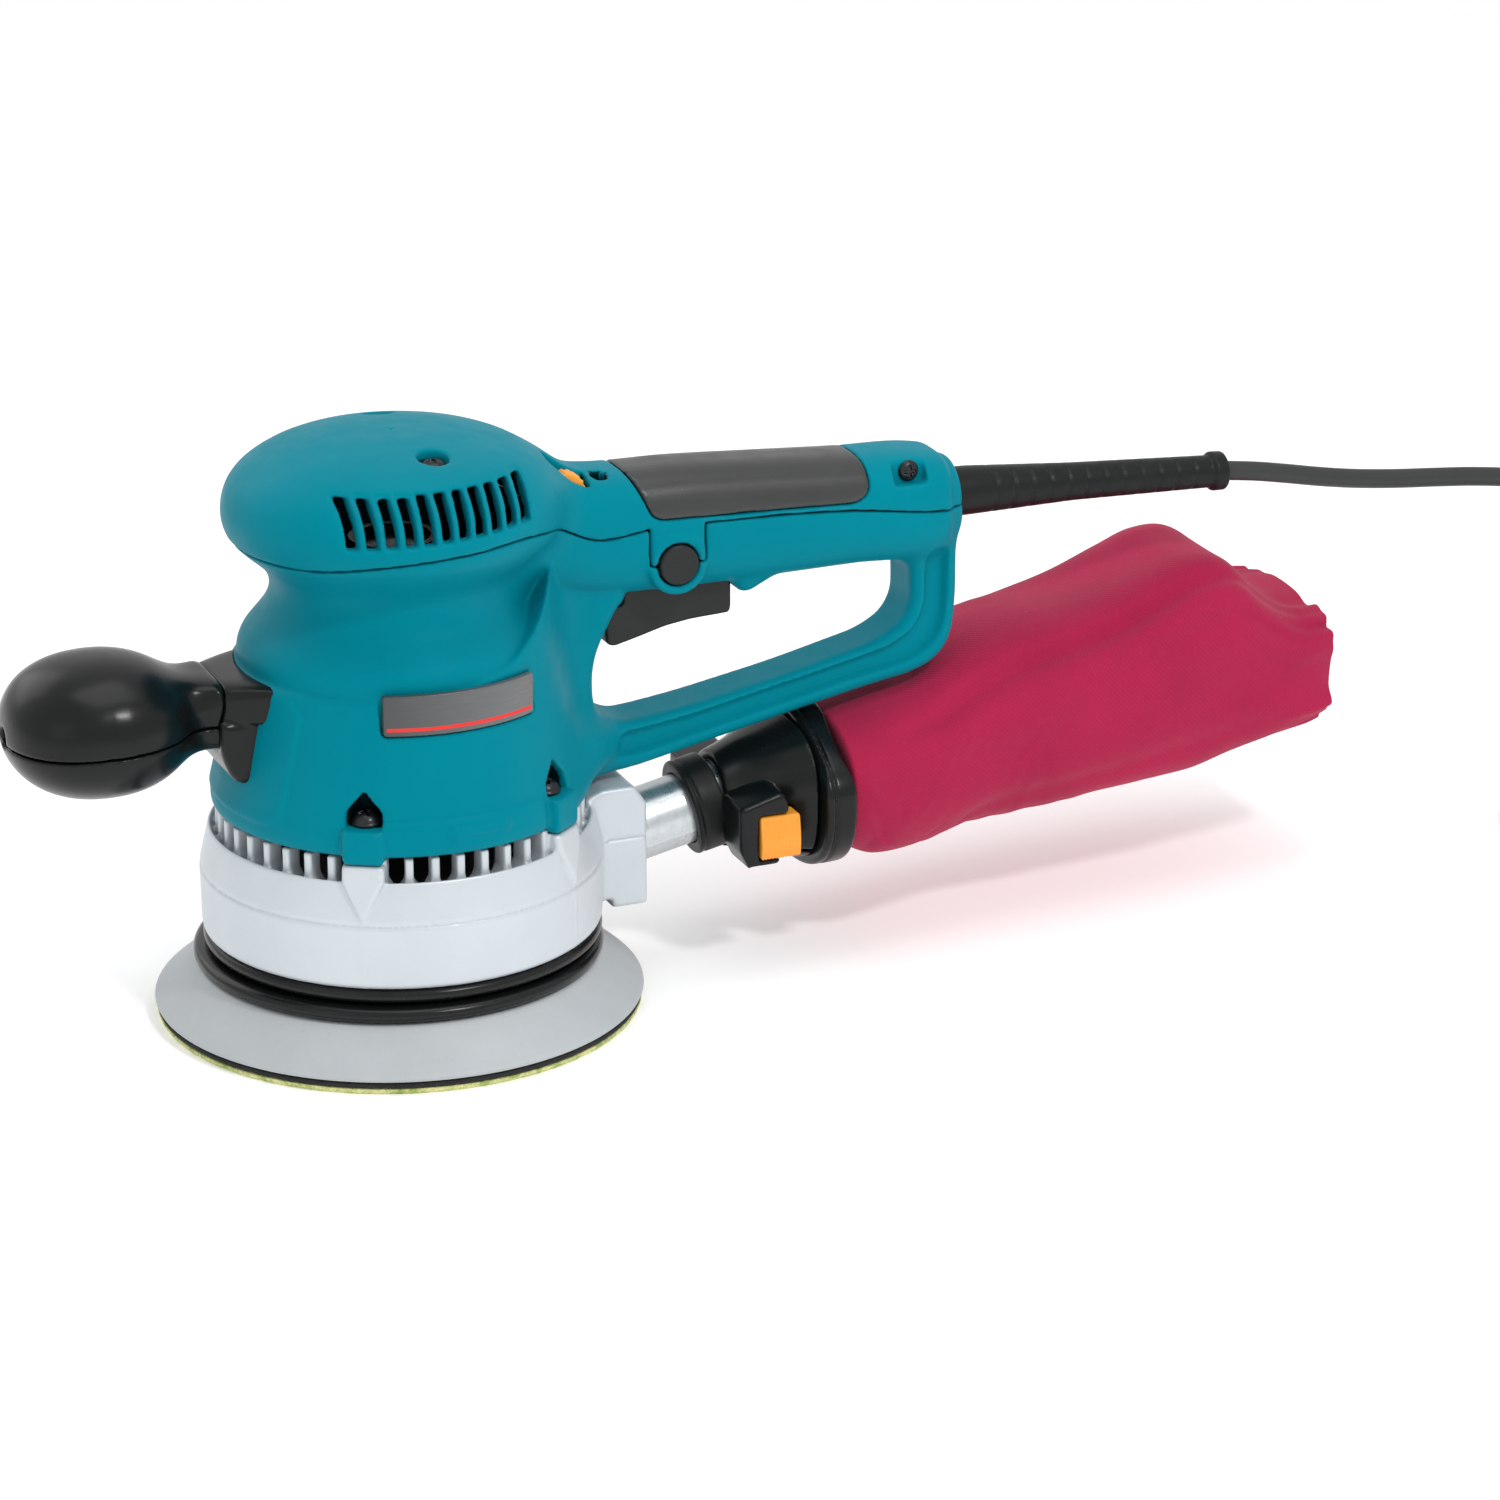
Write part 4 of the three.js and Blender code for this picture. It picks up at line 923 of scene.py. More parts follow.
# ---- fan housing, outlet and seals ----
CASTING_FOOT_Z = 27.5
CASTING_RIM_Z = 60.4
CASTING_SEAM_Z = 47.6
DECK_Z = 57.0
BOSS_TOP_Z = SKIRT_Z - 2.1
FINS = 45
PIPE_AT = (81.0, 0.0, 46.5)
PIPE_TILT = math.radians(12)
PIPE_R = 11.2
CUFF_R = 15.2
CASTING = [
    (52, CASTING_FOOT_Z), (60, CASTING_FOOT_Z), (60.9, 28.4), (61.0, 29.4), (61.3, 46.8),
    (60.7, 47.1), (60.6, 47.7), (61.1, 48.1), (58.4, 59.6), (58.0, CASTING_RIM_Z),
    (57.4, CASTING_RIM_Z), (57.4, 59.2), (56.7, 59.2), (56.7, 58.1), (56, 58.1), (56, DECK_Z),
    (17, DECK_Z), (17, 53.6), (57, 53.6), (57, 33.5), (52, 33.5),
]
OUTLET = [
    (54, 28), (62.6, 28), (62.6, 25.2), (74.4, 25.2), (74.4, 58.4), (70.4, 64.2), (60, 64.2),
    (54, 62),
]


def on_pipe(g, start, end, radius, edge=0.0):
    """A round rod on the outlet's tilted axis, from start to end along it."""
    x, y, z = PIPE_AT
    c, s = math.cos(PIPE_TILT), math.sin(PIPE_TILT)
    a, b = [(x + distance * c, y, z + distance * s) for distance in (start, end)]
    return rod(g, a, b, radius, edge=edge)


def folded(g, count):
    """Coordinates of one sector: across and along its radius."""
    pitch = 2 * math.pi / count
    angle = np.arctan2(g.x + 0 * g.y, -g.y + 0 * g.x)
    rest = (angle + pitch / 2) % pitch - pitch / 2
    r = np.sqrt(g.x ** 2 + g.y ** 2)
    return r * np.sin(rest), r * np.cos(rest)


def add_casting():
    g = Block((-63, -63, 24), (76, 63, 70), 0.6, 0.95)
    d = lathe(g, CASTING)
    d = join(d, rod(g, (0, 0, 53.6), (0, 0, 69.6), 21), 2)
    across, radius = folded(g, FINS)
    flare = 1.3 + 1.3 * np.clip((60.8 - g.z) / 3.4, 0, 1) ** 2
    fin = meet(np.abs(across) - flare, np.abs(radius - 53) - 3.0 - 0.5 * (flare - 1.3), 0.6)
    fin = meet(fin, np.abs(g.z - 61.5) - 5.4, 0)
    for x, y in screw_spots():
        fin = np.maximum(fin, -screw_block(g, x, y, 5.2, 40, 70, 50, 80))
    d = join(d, fin, 0.5)
    for x, y in screw_spots():
        d = join(d, screw_block(g, x, y, 5.4, 46, 57.6, DECK_Z - 1, BOSS_TOP_Z, 1.2), 0.8)
        # a rib that widens upwards below the boss and leans out at its foot
        out, across = radial(g, x, y)
        across = across - 6.4 * np.clip((g.z - CASTING_SEAM_Z) / 13, 0, 1)
        out = out - 58.8 - 0.17 * (SKIRT_Z - g.z)
        gusset = meet(meet(across, out, 1.6), g.z - BOSS_TOP_Z, 0.5)
        d = join(d, meet(gusset, -8 - out, 0), 0.5)
    outlet = slab(g, rounded_outline(OUTLET, 1.2), 15.6, 1.3)
    seam = np.maximum(np.abs(g.z - CASTING_SEAM_Z) - 0.25, 14.9 - np.abs(g.y))
    outlet = cut(outlet, seam, 0.3)
    d = join(d, outlet, 2.2)
    d = cut(d, on_pipe(g, -40, -3, PIPE_R + 0.3), 0.4)
    d = cut(d, on_pipe(g, -9, 6, PIPE_R + 0.35), 0.5)
    for x, y in screw_spots():
        d = cut(d, rod(g, (x, y, 40), (x, y, 90), 2.2))
    shaft = rod(g, (0, 0, 40), (0, 0, 80), 17)
    d = cut(d, shaft, 0.3)
    casting = piece("fan_housing_casting", g, d, "cast_aluminium", "fan_housing", rounds=1)
    # painted shade: the deck between the fins (inside 55.6 mm, below 57.4 mm) and all within 50.2
    # mm of the axis are marked to be painted nearly black
    r = np.hypot(g.x, g.y)
    floor = meet(r - 55.6, g.z - 57.4)
    shadow(casting, g, np.minimum(floor, r - 50.2) + 0.9 + 0 * g.z)


def add_nozzle():
    g = Block((58, -13, 28), (108, 13, 66), 0.45, 0.7)
    d = on_pipe(g, -17, 24, PIPE_R, 0.5)
    ridge = meet(np.abs(g.z - (PIPE_AT[2] - 4 + 0.2 * (g.x - PIPE_AT[0]))) - 0.3, g.y, 0)
    shell = on_pipe(g, -17, 24, PIPE_R + 0.22)
    d = join(d, np.maximum(ridge, shell), 0.3)
    d = cut(d, on_pipe(g, -18, 25, PIPE_R - 2), 0.4)
    piece("dust_nozzle_pipe", g, d, "pipe_aluminium", "dust_nozzle", rounds=1)


SKIRT_SEAL = [
    (52.5, 27.2), (52.5, 24.2), (55, 22.3), (57.6, 22.3), (59.4, 22.8), (60.7, 23.8), (61, 25),
    (60.6, 26.2), (59.4, 27.1), (58.6, 27.2),
]
PAD_RING = [
    (53, 17.1), (60.1, 17.1), (61.6, 17.5), (62.6, 18.6), (62.8, 19.6), (62.4, 20.8),
    (61.2, 21.7), (59.6, 22), (53, 22),
]
ORBIT = -1.5  # how far the pad is off the motor's axis
HOLE_CIRCLE = 40
HOLE_R = 4.5
PLATE = [
    (0, 5.2), (20, 5.2), (20, 3.9), (74.2, 3.9), (74.9, 4.4), (75, 5.0), (74.2, 5.8),
    (63.8, 14.3), (62.4, 15.7), (61.5, 16.8), (52, 16.8), (50, 9), (17.2, 9), (17.2, 21),
    (13.3, 21), (13.3, 10.2), (0, 10.2),
]


def dust_holes(g):
    """The six holes on a circle, which line up through the pad and the sheet."""
    turns = [math.radians(60 * i) for i in range(6)]
    spots = [(ORBIT + HOLE_CIRCLE * math.sin(a), -HOLE_CIRCLE * math.cos(a)) for a in turns]
    return np.minimum.reduce([np.hypot(g.x - x, g.y - y) - HOLE_R for x, y in spots])


def add_pad():
    g = Block((-63, -63, 21), (63, 63, 28.5), 0.5, 0.9)
    d = lathe(g, rounded_outline(SKIRT_SEAL, 1))
    piece("dust_skirt_seal", g, d, "rubber_gloss", "dust_skirt", slot="rubber")
    g = Block((-66, -64, 16), (62, 64, 23), 0.5, 0.9)
    d = lathe(g, rounded_outline(PAD_RING, 1), ORBIT)
    piece("pad_ring_seal", g, d, "rubber_gloss", "pad_ring", "pad", slot="rubber")
    g = Block((-78, -77, -1), (75, 77, 22), 0.5, 0.9)
    holes = dust_holes(g)
    plate = lathe(g, rounded_outline(PLATE, 0.6), ORBIT)
    plate = cut(plate, np.hypot(g.x - ORBIT, g.y) - 3.3, 0)
    piece("pad_plate_body", g, cut(plate, holes, 0.4), "grey_plastic", "pad_plate", "pad")
    g = Block((-78, -77, -1), (75, 77, 4.5), 0.4, 0.7)
    holes = dust_holes(g)
    cushion = lathe(g, [(20.5, 2.1), (74.3, 2.1), (74.3, 3.6), (20.5, 3.6)], ORBIT)
    piece("pad_cushion_foam", g, np.maximum(cushion, -holes), "pad_foam", "pad_cushion",
          "pad", rounds=1)
    sheet = lathe(g, [(0, 0), (73.4, 0), (74.2, 1), (74.2, 1.8), (0, 1.8)], ORBIT)
    piece("abrasive_sheet", g, np.maximum(sheet, -holes), "abrasive", "abrasive_disc",
          "pad", rounds=1)


# ---- front knob ----
KNOB_AT = (-93.3, 0, 102.3)
KNOB_R = 28.3
KNOB_H = 21.6
KNOB_SPLIT = -2.2


def add_knob():
    g = Block((-124, -30, 77), (-36, 30, 126), 0.6, 0.95)
    x, y, z = KNOB_AT
    px, py, pz = (g.x - x) / KNOB_R, g.y / KNOB_R, (g.z - z) / KNOB_H
    k = (np.abs(px) ** 2.2 + np.abs(py) ** 2.2 + np.abs(pz * 1.03) ** 2.2) ** (1 / 2.2)
    bulb = (k - 1) * KNOB_H * 0.98
    tail = loft(
        g,
        [(x + 4, 0, z, 24, 16, 2), (x + 16, 0, z - 0.4, 17.6, 12.4, 2.2),
         (x + 24, 0, z - 0.2, 13.4, 10.4, 2.8), (x + 34, 0, z + 0.2, 14.8, 10.2, 4)],
    )
    bulb = join(bulb, tail, 6)
    ridge = loft(
        g,
        [(x + 13, 0, z + 8.4, 9, 4.4, 2.5), (x + 24, 0, z + 7.6, 11, 3.6, 3),
         (x + 34, 0, z + 7.7, 14, 3.1, 4)],
        1,
    )
    bulb = join(bulb, ridge, 5)
    bulb = cut(bulb, rod(g, (x - 40, 0, z - 1), (x - 8, 0, z - 1), 3.1), 0.8)
    part = g.z - (z + KNOB_SPLIT) - 0.35 * np.clip((g.x - x) / KNOB_R, -1, 1) * 2
    piece("knob_top_half", g, cut(bulb, part - 0.2, 0.5), "black_plastic", "knob_upper")
    piece("knob_bottom_half", g, cut(bulb, -part - 0.2, 0.5), "black_plastic", "knob_lower")
    yoke = loft(
        g,
        [(-59.2, 0, 106.6, 14.9, 6.4, 4), (-54, 0, 106.8, 17.4, 6.4, 5),
         (-46, 0, 107, 21, 6.4, 6), (-36, 0, 107.2, 24, 6.4, 6)],
        0.6,
    )
    foot = slab(
        g,
        rounded_outline(
            [(-60.6, 100), (-59.6, 91), (-57, 84.4), (-53.6, 82.4), (-38, 81.6), (-38, 103),
             (-60.6, 103)], 2.5,
        ),
        17.4, 3.2,
    )
    arm = join(yoke, foot, 1.0)
    # it dips a little into the body's wall, so that the edge between them stays crisp
    arm = cut(arm, grown_body(g, -1.2))
    arm = cut(arm, bulb - 0.15, 0.2)
    piece("knob_yoke", g, arm, "black_plastic", "knob_arm")


# ---- handle hardware ----
TRIGGER = [
    (65.4, 107.6), (67.6, 106.6), (75, 108.4), (84.6, 111), (93, 112.2), (105.6, 112.8),
    (106.2, 114.6), (106.2, 124.4), (104, 126.2), (72, 126.2), (66, 124.6), (64.4, 118),
]


def add_handle_parts():
    g = Block((62, -8, 104), (108, 8, 128), 0.35, 0.6)
    d = slab(g, rounded_outline(TRIGGER, 1.6), 6.2, 1.3)
    d = cut(d, rod(g, (68.6, -10, 121.5), (68.6, 10, 121.5), 2.4), 0.3)
    piece("trigger_lever_grip", g, d, "dark_plastic", "trigger", "trigger_lever",
          slot="grip_rubber")
    g = Block((65, -7, 118), (72, 7, 125), 0.3)
    d = rod(g, (68.6, -6, 121.5), (68.6, 6, 121.5), 2.0, edge=0.3)
    piece("trigger_pin_short", g, d, "steel", "trigger_pin", rounds=1)
    lx, lz = LOCK_AT
    g = Block((lx - 8, -20, lz - 8), (lx + 8, -2, lz + 8), 0.25, 0.4)
    d = rod(g, (lx, -18.4, lz), (lx, -12.9, lz), 6.3, edge=0.9)
    r = np.hypot(g.x - lx, g.z - lz)
    dots = np.cos(2 * math.pi * (g.x - lx) / 1.5) * np.cos(2 * math.pi * (g.z - lz) / 1.5)
    d = d + 0.16 * np.clip(-dots, 0, 1) * (r < 5.0) * (g.y < -17)
    d = join(d, rod(g, (lx, -13, lz), (lx, -4, lz), 3), 0.2)
    piece("lock_button_cap", g, d, "dark_plastic", "lock_button", "lock",
          slot="grip_rubber", rounds=1)
    dx, dy, dz = DIAL_AT
    g = Block((dx - 8, dy - 4, dz - 8), (dx + 8, dy + 4, dz + 8), 0.22, 0.35)
    angle = np.arctan2(g.z - dz, g.x - dx)
    r = np.hypot(g.x - dx, g.z - dz)
    wheel = meet(r - 5.7 + 0.2 * np.cos(18 * angle), np.abs(g.y - dy) - 2.9, 0.4)
    piece("speed_dial_wheel", g, wheel, "orange_plastic", "speed_dial", "dial", rounds=1)


def cross(u, v, size, half, blend):
    """A cross drive in the plane across the screw's axis."""
    u, v = np.abs(u), np.abs(v)
    return join(np.maximum(u - size, v - half), np.maximum(u - half, v - size), blend)


def dome(u, v, height, radius):
    return np.sqrt(u ** 2 + v ** 2 + height ** 2) - radius


def add_screws():
    for i, (x, y) in enumerate(screw_spots()):
        x, y = x * SCREW_OUT, y * SCREW_OUT
        g = Block((x - 6, y - 6, 60), (x + 6, y + 6, 82), 0.28, 0.45)
        seat = SCREW_SEAT_Z + 0.25
        u, v = g.x - x, g.y - y
        head = meet(dome(u, v, (g.z - seat - 0.4) * 1.2, 4.4), seat + 0.2 - g.z, 0.3)
        washer = rod(g, (x, y, seat), (x, y, seat + 0.9), 4.75, edge=0.3)
        d = join(head, washer, 0.3)
        d = cut(d, np.maximum(cross(u, v, 2.4, 0.55, 0.4), seat + 2.8 - g.z), 0.3)
        d = join(d, rod(g, (x, y, 58), (x, y, seat + 0.6), 1.9), 0.2)
        piece(f"skirt_screw_head_{i + 1}", g, d, "black_steel", f"skirt_screw_{i + 1}",
              slot="steel", rounds=1)
    for name, (x, y) in zip(("near", "far"), COVER_SCREWS):
        g = Block((x - 6, y - 6, 168), (x + 6, y + 6, 181), 0.28, 0.45)
        u, v = g.x - x, g.y - y
        d = meet(dome(u, v, (g.z - 176) * 1.5, 4.2), 176.8 - g.z, 0.2)
        d = cut(d, np.maximum(cross(u, v, 2.2, 0.55, 0.4), 177.6 - g.z), 0.3)
        d = join(d, rod(g, (x, y, 168), (x, y, 177), 1.9), 0.2)
        piece(f"cover_screw_head_{name}", g, d, "black_steel", f"cover_screw_{name}",
              slot="steel", rounds=1)
    gx, gz = GRIP_SCREW
    gx, gz = gx - 0.4, gz - 0.6
    g = Block((gx - 5, -16, gz - 5), (gx + 5, -9.5, gz + 5), 0.25, 0.4)
    u, v = g.x - gx, g.z - gz
    d = meet(dome(u, v, (g.y + 11.2) * 1.6, 3.4), g.y + 11.2, 0.2)
    d = cut(d, np.maximum(cross(u, v, 2, 0.5, 0.3), g.y + 12.2), 0.25)
    piece("handle_screw_head", g, d, "black_steel", "handle_screw", slot="steel", rounds=1)


def add_badge():
    """A curved plate, brushed dark grey with a red line, no lettering."""
    g = Block((-22, -52, 101), (30, -38, 118), 0.3, 0.5)
    piece("badge_plate_curved", g, badge_field(g, 0.0), "badge_plate", "badge", rounds=1)


# ---- dust bag and its fittings ----
# x, y, z, half width, half height and power of the bag's rounded sections
BAG = [
    (138, 2, 54, 32, 22, 2.5), (150, 4, 54, 34, 25.2, 2.6), (168, 8, 56, 36.5, 28, 2.6),
    (190, 12, 61.4, 38, 32.2, 2.6), (215, 15, 64.6, 39, 33.6, 2.8),
    (240, 18, 68.1, 39.6, 34.7, 3), (256, 19.4, 71.4, 39.6, 36.6, 3.2),
    (269, 20.8, 73.8, 39.4, 37.8, 3.4), (282, 22, 74.6, 39.2, 34.6, 3.6),
    (292, 23, 71, 38.8, 28, 3.8), (305, 24.4, 68.2, 38, 21.8, 4),
    (312, 25, 68.3, 36.6, 20.3, 4.2), (317, 25.5, 68.5, 35, 19.5, 4),
]
# a long soft fold from the frame's top to the rear, and shorter ones behind it: angle at the
# frame, how it shifts along the bag, width, depth, and the shares where it starts and ends
BAG_FOLDS = [
    (2.58, -0.5, 0.17, 4.0, 0.05, 0.95), (2.95, -0.2, 0.12, 1.8, 0.5, 1.0),
    (3.4, -0.3, 0.1, 1.6, 0.7, 1.05), (3.9, -0.5, 0.16, 1.5, 0.1, 0.9),
    (1.2, 0.5, 0.2, 1.4, 0.2, 1.0), (5.3, -0.6, 0.22, 1.4, 0.1, 0.95),
    (0.35, 0, 0.2, 1.2, 0.3, 1.0),
]
BAG_TUCK = 0.965
BAG_AROUND = 144
BAG_ALONG = 128
POST_HALF = 12.6  # half width of the handle's rear post
THREAD = 0.00072
BAG_GIRTH = 2 * math.pi * 33 * MM
BAG_X, BAG_LENGTH = 138, 179
SETTLE_FRAMES = 16
SETTLE_LIMIT = 1.8  # the farthest that the cloth may move
CAP_ROWS = 6
CAP_BULGE = 0.0025


def add_adaptor():
    g = Block((86, -20, 30), (108, 20, 70), 0.4, 0.6)
    cuff = on_pipe(g, 11, 21, CUFF_R, 1.0)
    ring = on_pipe(g, 12.6, 13.4, CUFF_R + 1)
    core = on_pipe(g, 11, 15, CUFF_R - 0.5)
    cuff = cut(cuff, np.maximum(ring, -core), 0.4)
    cuff = cut(cuff, on_pipe(g, 0, 40, PIPE_R + 0.3), 0.3)
    piece("bag_cuff_ring", g, cuff, "rubber", "bag_cuff", "bag", rounds=1)
    g = Block((97, -32, 28), (130, 32, 78), 0.5, 0.8)
    duct = loft(
        g,
        [(101, 0, 50.8, 15.4, 15, 2), (108, 0, 51.6, 17, 17, 2), (118, 0, 52, 22, 20, 2.6),
         (127, 0, 53, 27, 22, 2.8)],
        0.8,
    )
    d = duct
    block = [(99.6, 43), (103, 36), (112.6, 37.6), (116, 56.8), (113.6, 61), (99.4, 57)]
    for side in (-1, 1):
        lug = slab(g, rounded_outline(block, 1.6), 8, 1.4, side * 22)
        d = join(d, lug, 1.2)
    for side in (-1, 1):
        slot = box(g, (105.6, side * 26 - 6, 39.4), (119.6, side * 26 + 6, 54), 0.5)
        d = cut(d, slot, 0.5)
        lip = meet(np.abs(g.z - 37.4) - 0.5, np.abs(g.y - side * 22) - 9, 0)
        d = cut(d, np.maximum(lip, 103 - g.x), 0.4)
    d = cut(d, on_pipe(g, 10, 32, PIPE_R + 0.3), 0.3)
    d = cut(d, on_pipe(g, 4, 21.3, CUFF_R + 0.35), 0.3)
    d = cut(d, loft(g, [(112, 0, 52, 11, 11, 2), (128.5, 0, 53, 20, 16, 2.6)]), 0.5)
    piece("bag_adaptor_duct", g, d, "black_plastic", "bag_adaptor", "bag")
    for side, name in ((-1, "near"), (1, "far")):
        y = side * 27
        g = Block((104, y - 6, 38), (121, y + 6, 56), 0.25, 0.4)
        d = box(g, (106, y - 4.5, 39.8), (119.2, y + 4.5, 53.6), 1.0)
        wedge = side * (g.y - y) - 4.5 + 0.16 * np.abs(g.z - 44.6)
        d = meet(d, wedge, 0.6)
        rib = 0.22 * np.cos(2 * math.pi * (g.x - 106) / 1.12)
        face = np.clip((side * (g.y - y) - 2.0) / 1.0, 0, 1)
        d = d + (rib + 0.22) * face * (np.abs(g.x - 112.6) < 5.8)
        piece(f"bag_latch_{name}_button", g, d, "orange_plastic", f"bag_latch_{name}",
              f"latch_{name}", rounds=1)


def add_bag_frame():
    g = Block((125, -35, 26), (139, 39, 80), 0.45, 0.7)
    outer = loft(
        g,
        [(127.3, 2, 52.6, 34.6, 24.6, 2.4), (132, 2, 52.8, 34.9, 24.9, 2.4),
         (137.6, 2, 53, 34.6, 24.8, 2.4)],
        1.4,
    )
    # the top corners are drawn in: a D that lies on its flat side
    across = np.abs(g.y - 2)
    corner = (g.z - 53) * 0.86 + across * 0.5 - 26.2
    outer = meet(outer, corner, 5)
    inner = loft(g, [(120, 2, 54, 21, 16, 2.6), (142, 2, 55, 26, 19, 2.6)])
    groove = np.abs(g.x - 130.4) - 0.4
    outer = cut(outer, np.maximum(groove, -(outer + 0.7)), 0.3)
    recess = meet(outer + 4.2, g.x - 129.0, 0.4)
    d = cut(outer, recess, 0.5)
    d = cut(d, inner, 0.5)
    bar = box(g, (127.4, -31, 39), (129.4, -28.2, 55), 0.4)
    d = join(d, np.maximum(bar, outer), 0.3)
    piece("bag_frame_ring", g, d, "black_plastic", "bag_frame", "bag")


def bag_ring(x):
    cols = np.array(BAG, float).T
    return [float(hermite(np.array([x]), cols[0], c)[0]) for c in cols[1:]]


def bag_shape():
    """Rings along X with soft folds, before the cloth settles."""
    xs = np.concatenate([
        np.linspace(BAG_X, 146, 9)[:-1], np.linspace(146, 306, BAG_ALONG - 28),
        np.linspace(306, BAG_X + BAG_LENGTH, 21)[1:],
    ])
    t = np.linspace(0, 2 * math.pi, BAG_AROUND, endpoint=False)
    across, up = np.cos(t), np.sin(t)
    points = []
    for x in xs:
        y, z, w, h, p = bag_ring(x)
        share = (x - BAG_X) / BAG_LENGTH
        gather = max(0.0, (share - 0.88) / 0.12)
        out = gather * (1.2 * np.sin(9 * t + 1.3) + 0.8 * np.sin(17 * t))
        for angle, shift, width, depth, start, stop in BAG_FOLDS:
            fade = math.sin(math.pi * min(max((share - start) / (stop - start), 0), 1)) ** 0.8
            out -= depth * fade * np.exp(-((t - angle - shift * share) / width) ** 2)
        ring_y = y + w * BAG_TUCK * np.sign(across) * np.abs(across) ** (2 / p) + out * across
        ring_z = z + h * BAG_TUCK * np.sign(up) * np.abs(up) ** (2 / p) + out * up
        points.append(np.stack([np.full(BAG_AROUND, x), ring_y, ring_z], axis=1))
    return np.array(points)


def clear_of_post(points):
    """The cloth dips under the handle's rear post, which would press it down."""
    x, y, z = points[..., 0], points[..., 1], points[..., 2]
    floor_x = [120, 139, 150, 168, 176, 182, 190, 200, 215]
    floor_z = [77, 77, 79, 81.8, 86, 92.6, 98, 103, 120]
    ceiling = np.interp(x, floor_x, floor_z)
    side = np.clip((np.abs(y) - POST_HALF - 0.6) / 12.0, 0, 1)
    ceiling = ceiling + 26 * side ** 1.4
    points[..., 2] = np.minimum(z, ceiling)
    return points


def add_bag():
    rings = clear_of_post(bag_shape())
    along, around = rings.shape[:2]
    first, last = rings[0].mean(axis=0), rings[-1].mean(axis=0)
    points = np.vstack([rings.reshape(-1, 3), first[None], last[None]])
    k = np.arange(along - 1)[:, None] * around
    i = np.arange(around)[None, :]
    j = (i + 1) % around
    quads = np.stack([k + i, k + around + i, k + around + j, k + j], axis=-1).reshape(-1, 4)
    ob = fill_mesh("dust_bag_cloth", points, quads[:, ::-1])
    me = ob.data
    end = (along - 1) * around
    bm = bmesh.new()
    bm.from_mesh(me)
    bm.verts.ensure_lookup_table()
    ends = [
        ([bm.verts[base + n] for n in range(around)], bm.verts[centre], flip)
        for base, centre, flip in ((0, len(points) - 2, True), (end, len(points) - 1, False))
    ]
    for rim, tip, flip in ends:
        ring = rim
        middle = tip.co.copy()
        for row in range(1, CAP_ROWS):
            share = row / CAP_ROWS
            bulge = CAP_BULGE * math.sin(share * math.pi / 2) * (-0.2 if flip else 1)
            inner = [
                bm.verts.new(v.co.lerp(middle, share) + Vector((bulge, 0, 0))) for v in rim
            ]
            for n in range(around):
                m = (n + 1) % around
                corners = [ring[n], ring[m], inner[m], inner[n]]
                bm.faces.new(corners[::-1] if flip else corners)
            ring = inner
        tip.co.x += CAP_BULGE * (-0.2 if flip else 1)
        for n in range(around):
            corners = [ring[n], ring[(n + 1) % around], tip]
            bm.faces.new(corners[::-1] if flip else corners)
    uv = bm.loops.layers.uv.new("weave")
    threads_around = round(BAG_GIRTH / THREAD)
    for face in bm.faces:
        angles = []
        for loop in face.loops:
            co = loop.vert.co
            y, z, _, _, _ = bag_ring(co.x / MM)
            angle = math.atan2(co.z / MM - z, co.y / MM - y)
            angles.append([loop, co.x / THREAD, angle])
        if max(a[2] for a in angles) - min(a[2] for a in angles) > math.pi:
            for a in angles:
                if a[2] < 0:
                    a[2] += 2 * math.pi
        for loop, u, angle in angles:
            loop[uv].uv = (u, angle / (2 * math.pi) * threads_around)
        face.smooth = True
    bmesh.ops.recalc_face_normals(bm, faces=bm.faces)
    bm.to_mesh(me)
    bm.free()
    settle(ob)
    fine = ob.modifiers.new("fine", "SUBSURF")
    fine.levels = fine.render_levels = 1
    dress(ob, "crimson_cloth", "bag", "crimson_cloth", "dust_bag")


def settle(ob):
    """Cloth under a little air pressure and its own weight, held at the frame."""
    me = ob.data
    rest = np.empty(len(me.vertices) * 3)
    me.vertices.foreach_get("co", rest)
    rest = rest.reshape(-1, 3)
    held = ob.vertex_groups.new(name="held")
    x, y, z = rest.T / MM
    near_post = (x < 206) & (np.abs(y) < 26) & (z > 70)
    fixed = np.where((x < 141.5) | near_post)[0]
    held.add([int(n) for n in fixed], 1.0, "REPLACE")
    cloth = ob.modifiers.new("cloth", "CLOTH")
    s = cloth.settings
    s.quality = 5
    s.mass = 0.15
    s.tension_stiffness = 12
    s.compression_stiffness = 8
    s.bending_stiffness = 0.35
    s.shrink_min = -0.035
    s.use_pressure = True
    s.uniform_pressure_force = 0.35
    s.vertex_group_mass = "held"
    s.effector_weights.gravity = 0.35
    cloth.collision_settings.use_collision = False
    cloth.point_cache.frame_start = 1
    cloth.point_cache.frame_end = SETTLE_FRAMES + 2
    for n in range(1, SETTLE_FRAMES + 1):
        scene.frame_set(n)
    dg = bpy.context.evaluated_depsgraph_get()
    done = ob.evaluated_get(dg).data
    now = np.empty(len(done.vertices) * 3)
    done.vertices.foreach_get("co", now)
    move = now.reshape(-1, 3) - rest
    size = np.linalg.norm(move, axis=1, keepdims=True)
    limit = SETTLE_LIMIT * MM
    move = move * np.where(size > limit, limit / np.maximum(size, 1e-9), 1)
    # the held places let go gradually, so that no line shows around them
    top = np.clip((z - 58) / 14, 0, 1) * np.clip((42 - np.abs(y)) / 16, 0, 1)
    calm = np.clip((232 - x) / 26, 0, 1) * top
    calm = np.maximum(calm, np.clip((152 - x) / 10, 0, 1))
    move = move * (1 - calm * calm * (3 - 2 * calm))[:, None]
    ob.modifiers.remove(cloth)
    ob.vertex_groups.remove(held)
    scene.frame_set(1)
    me.vertices.foreach_set("co", (rest + move).ravel())
    me.update()


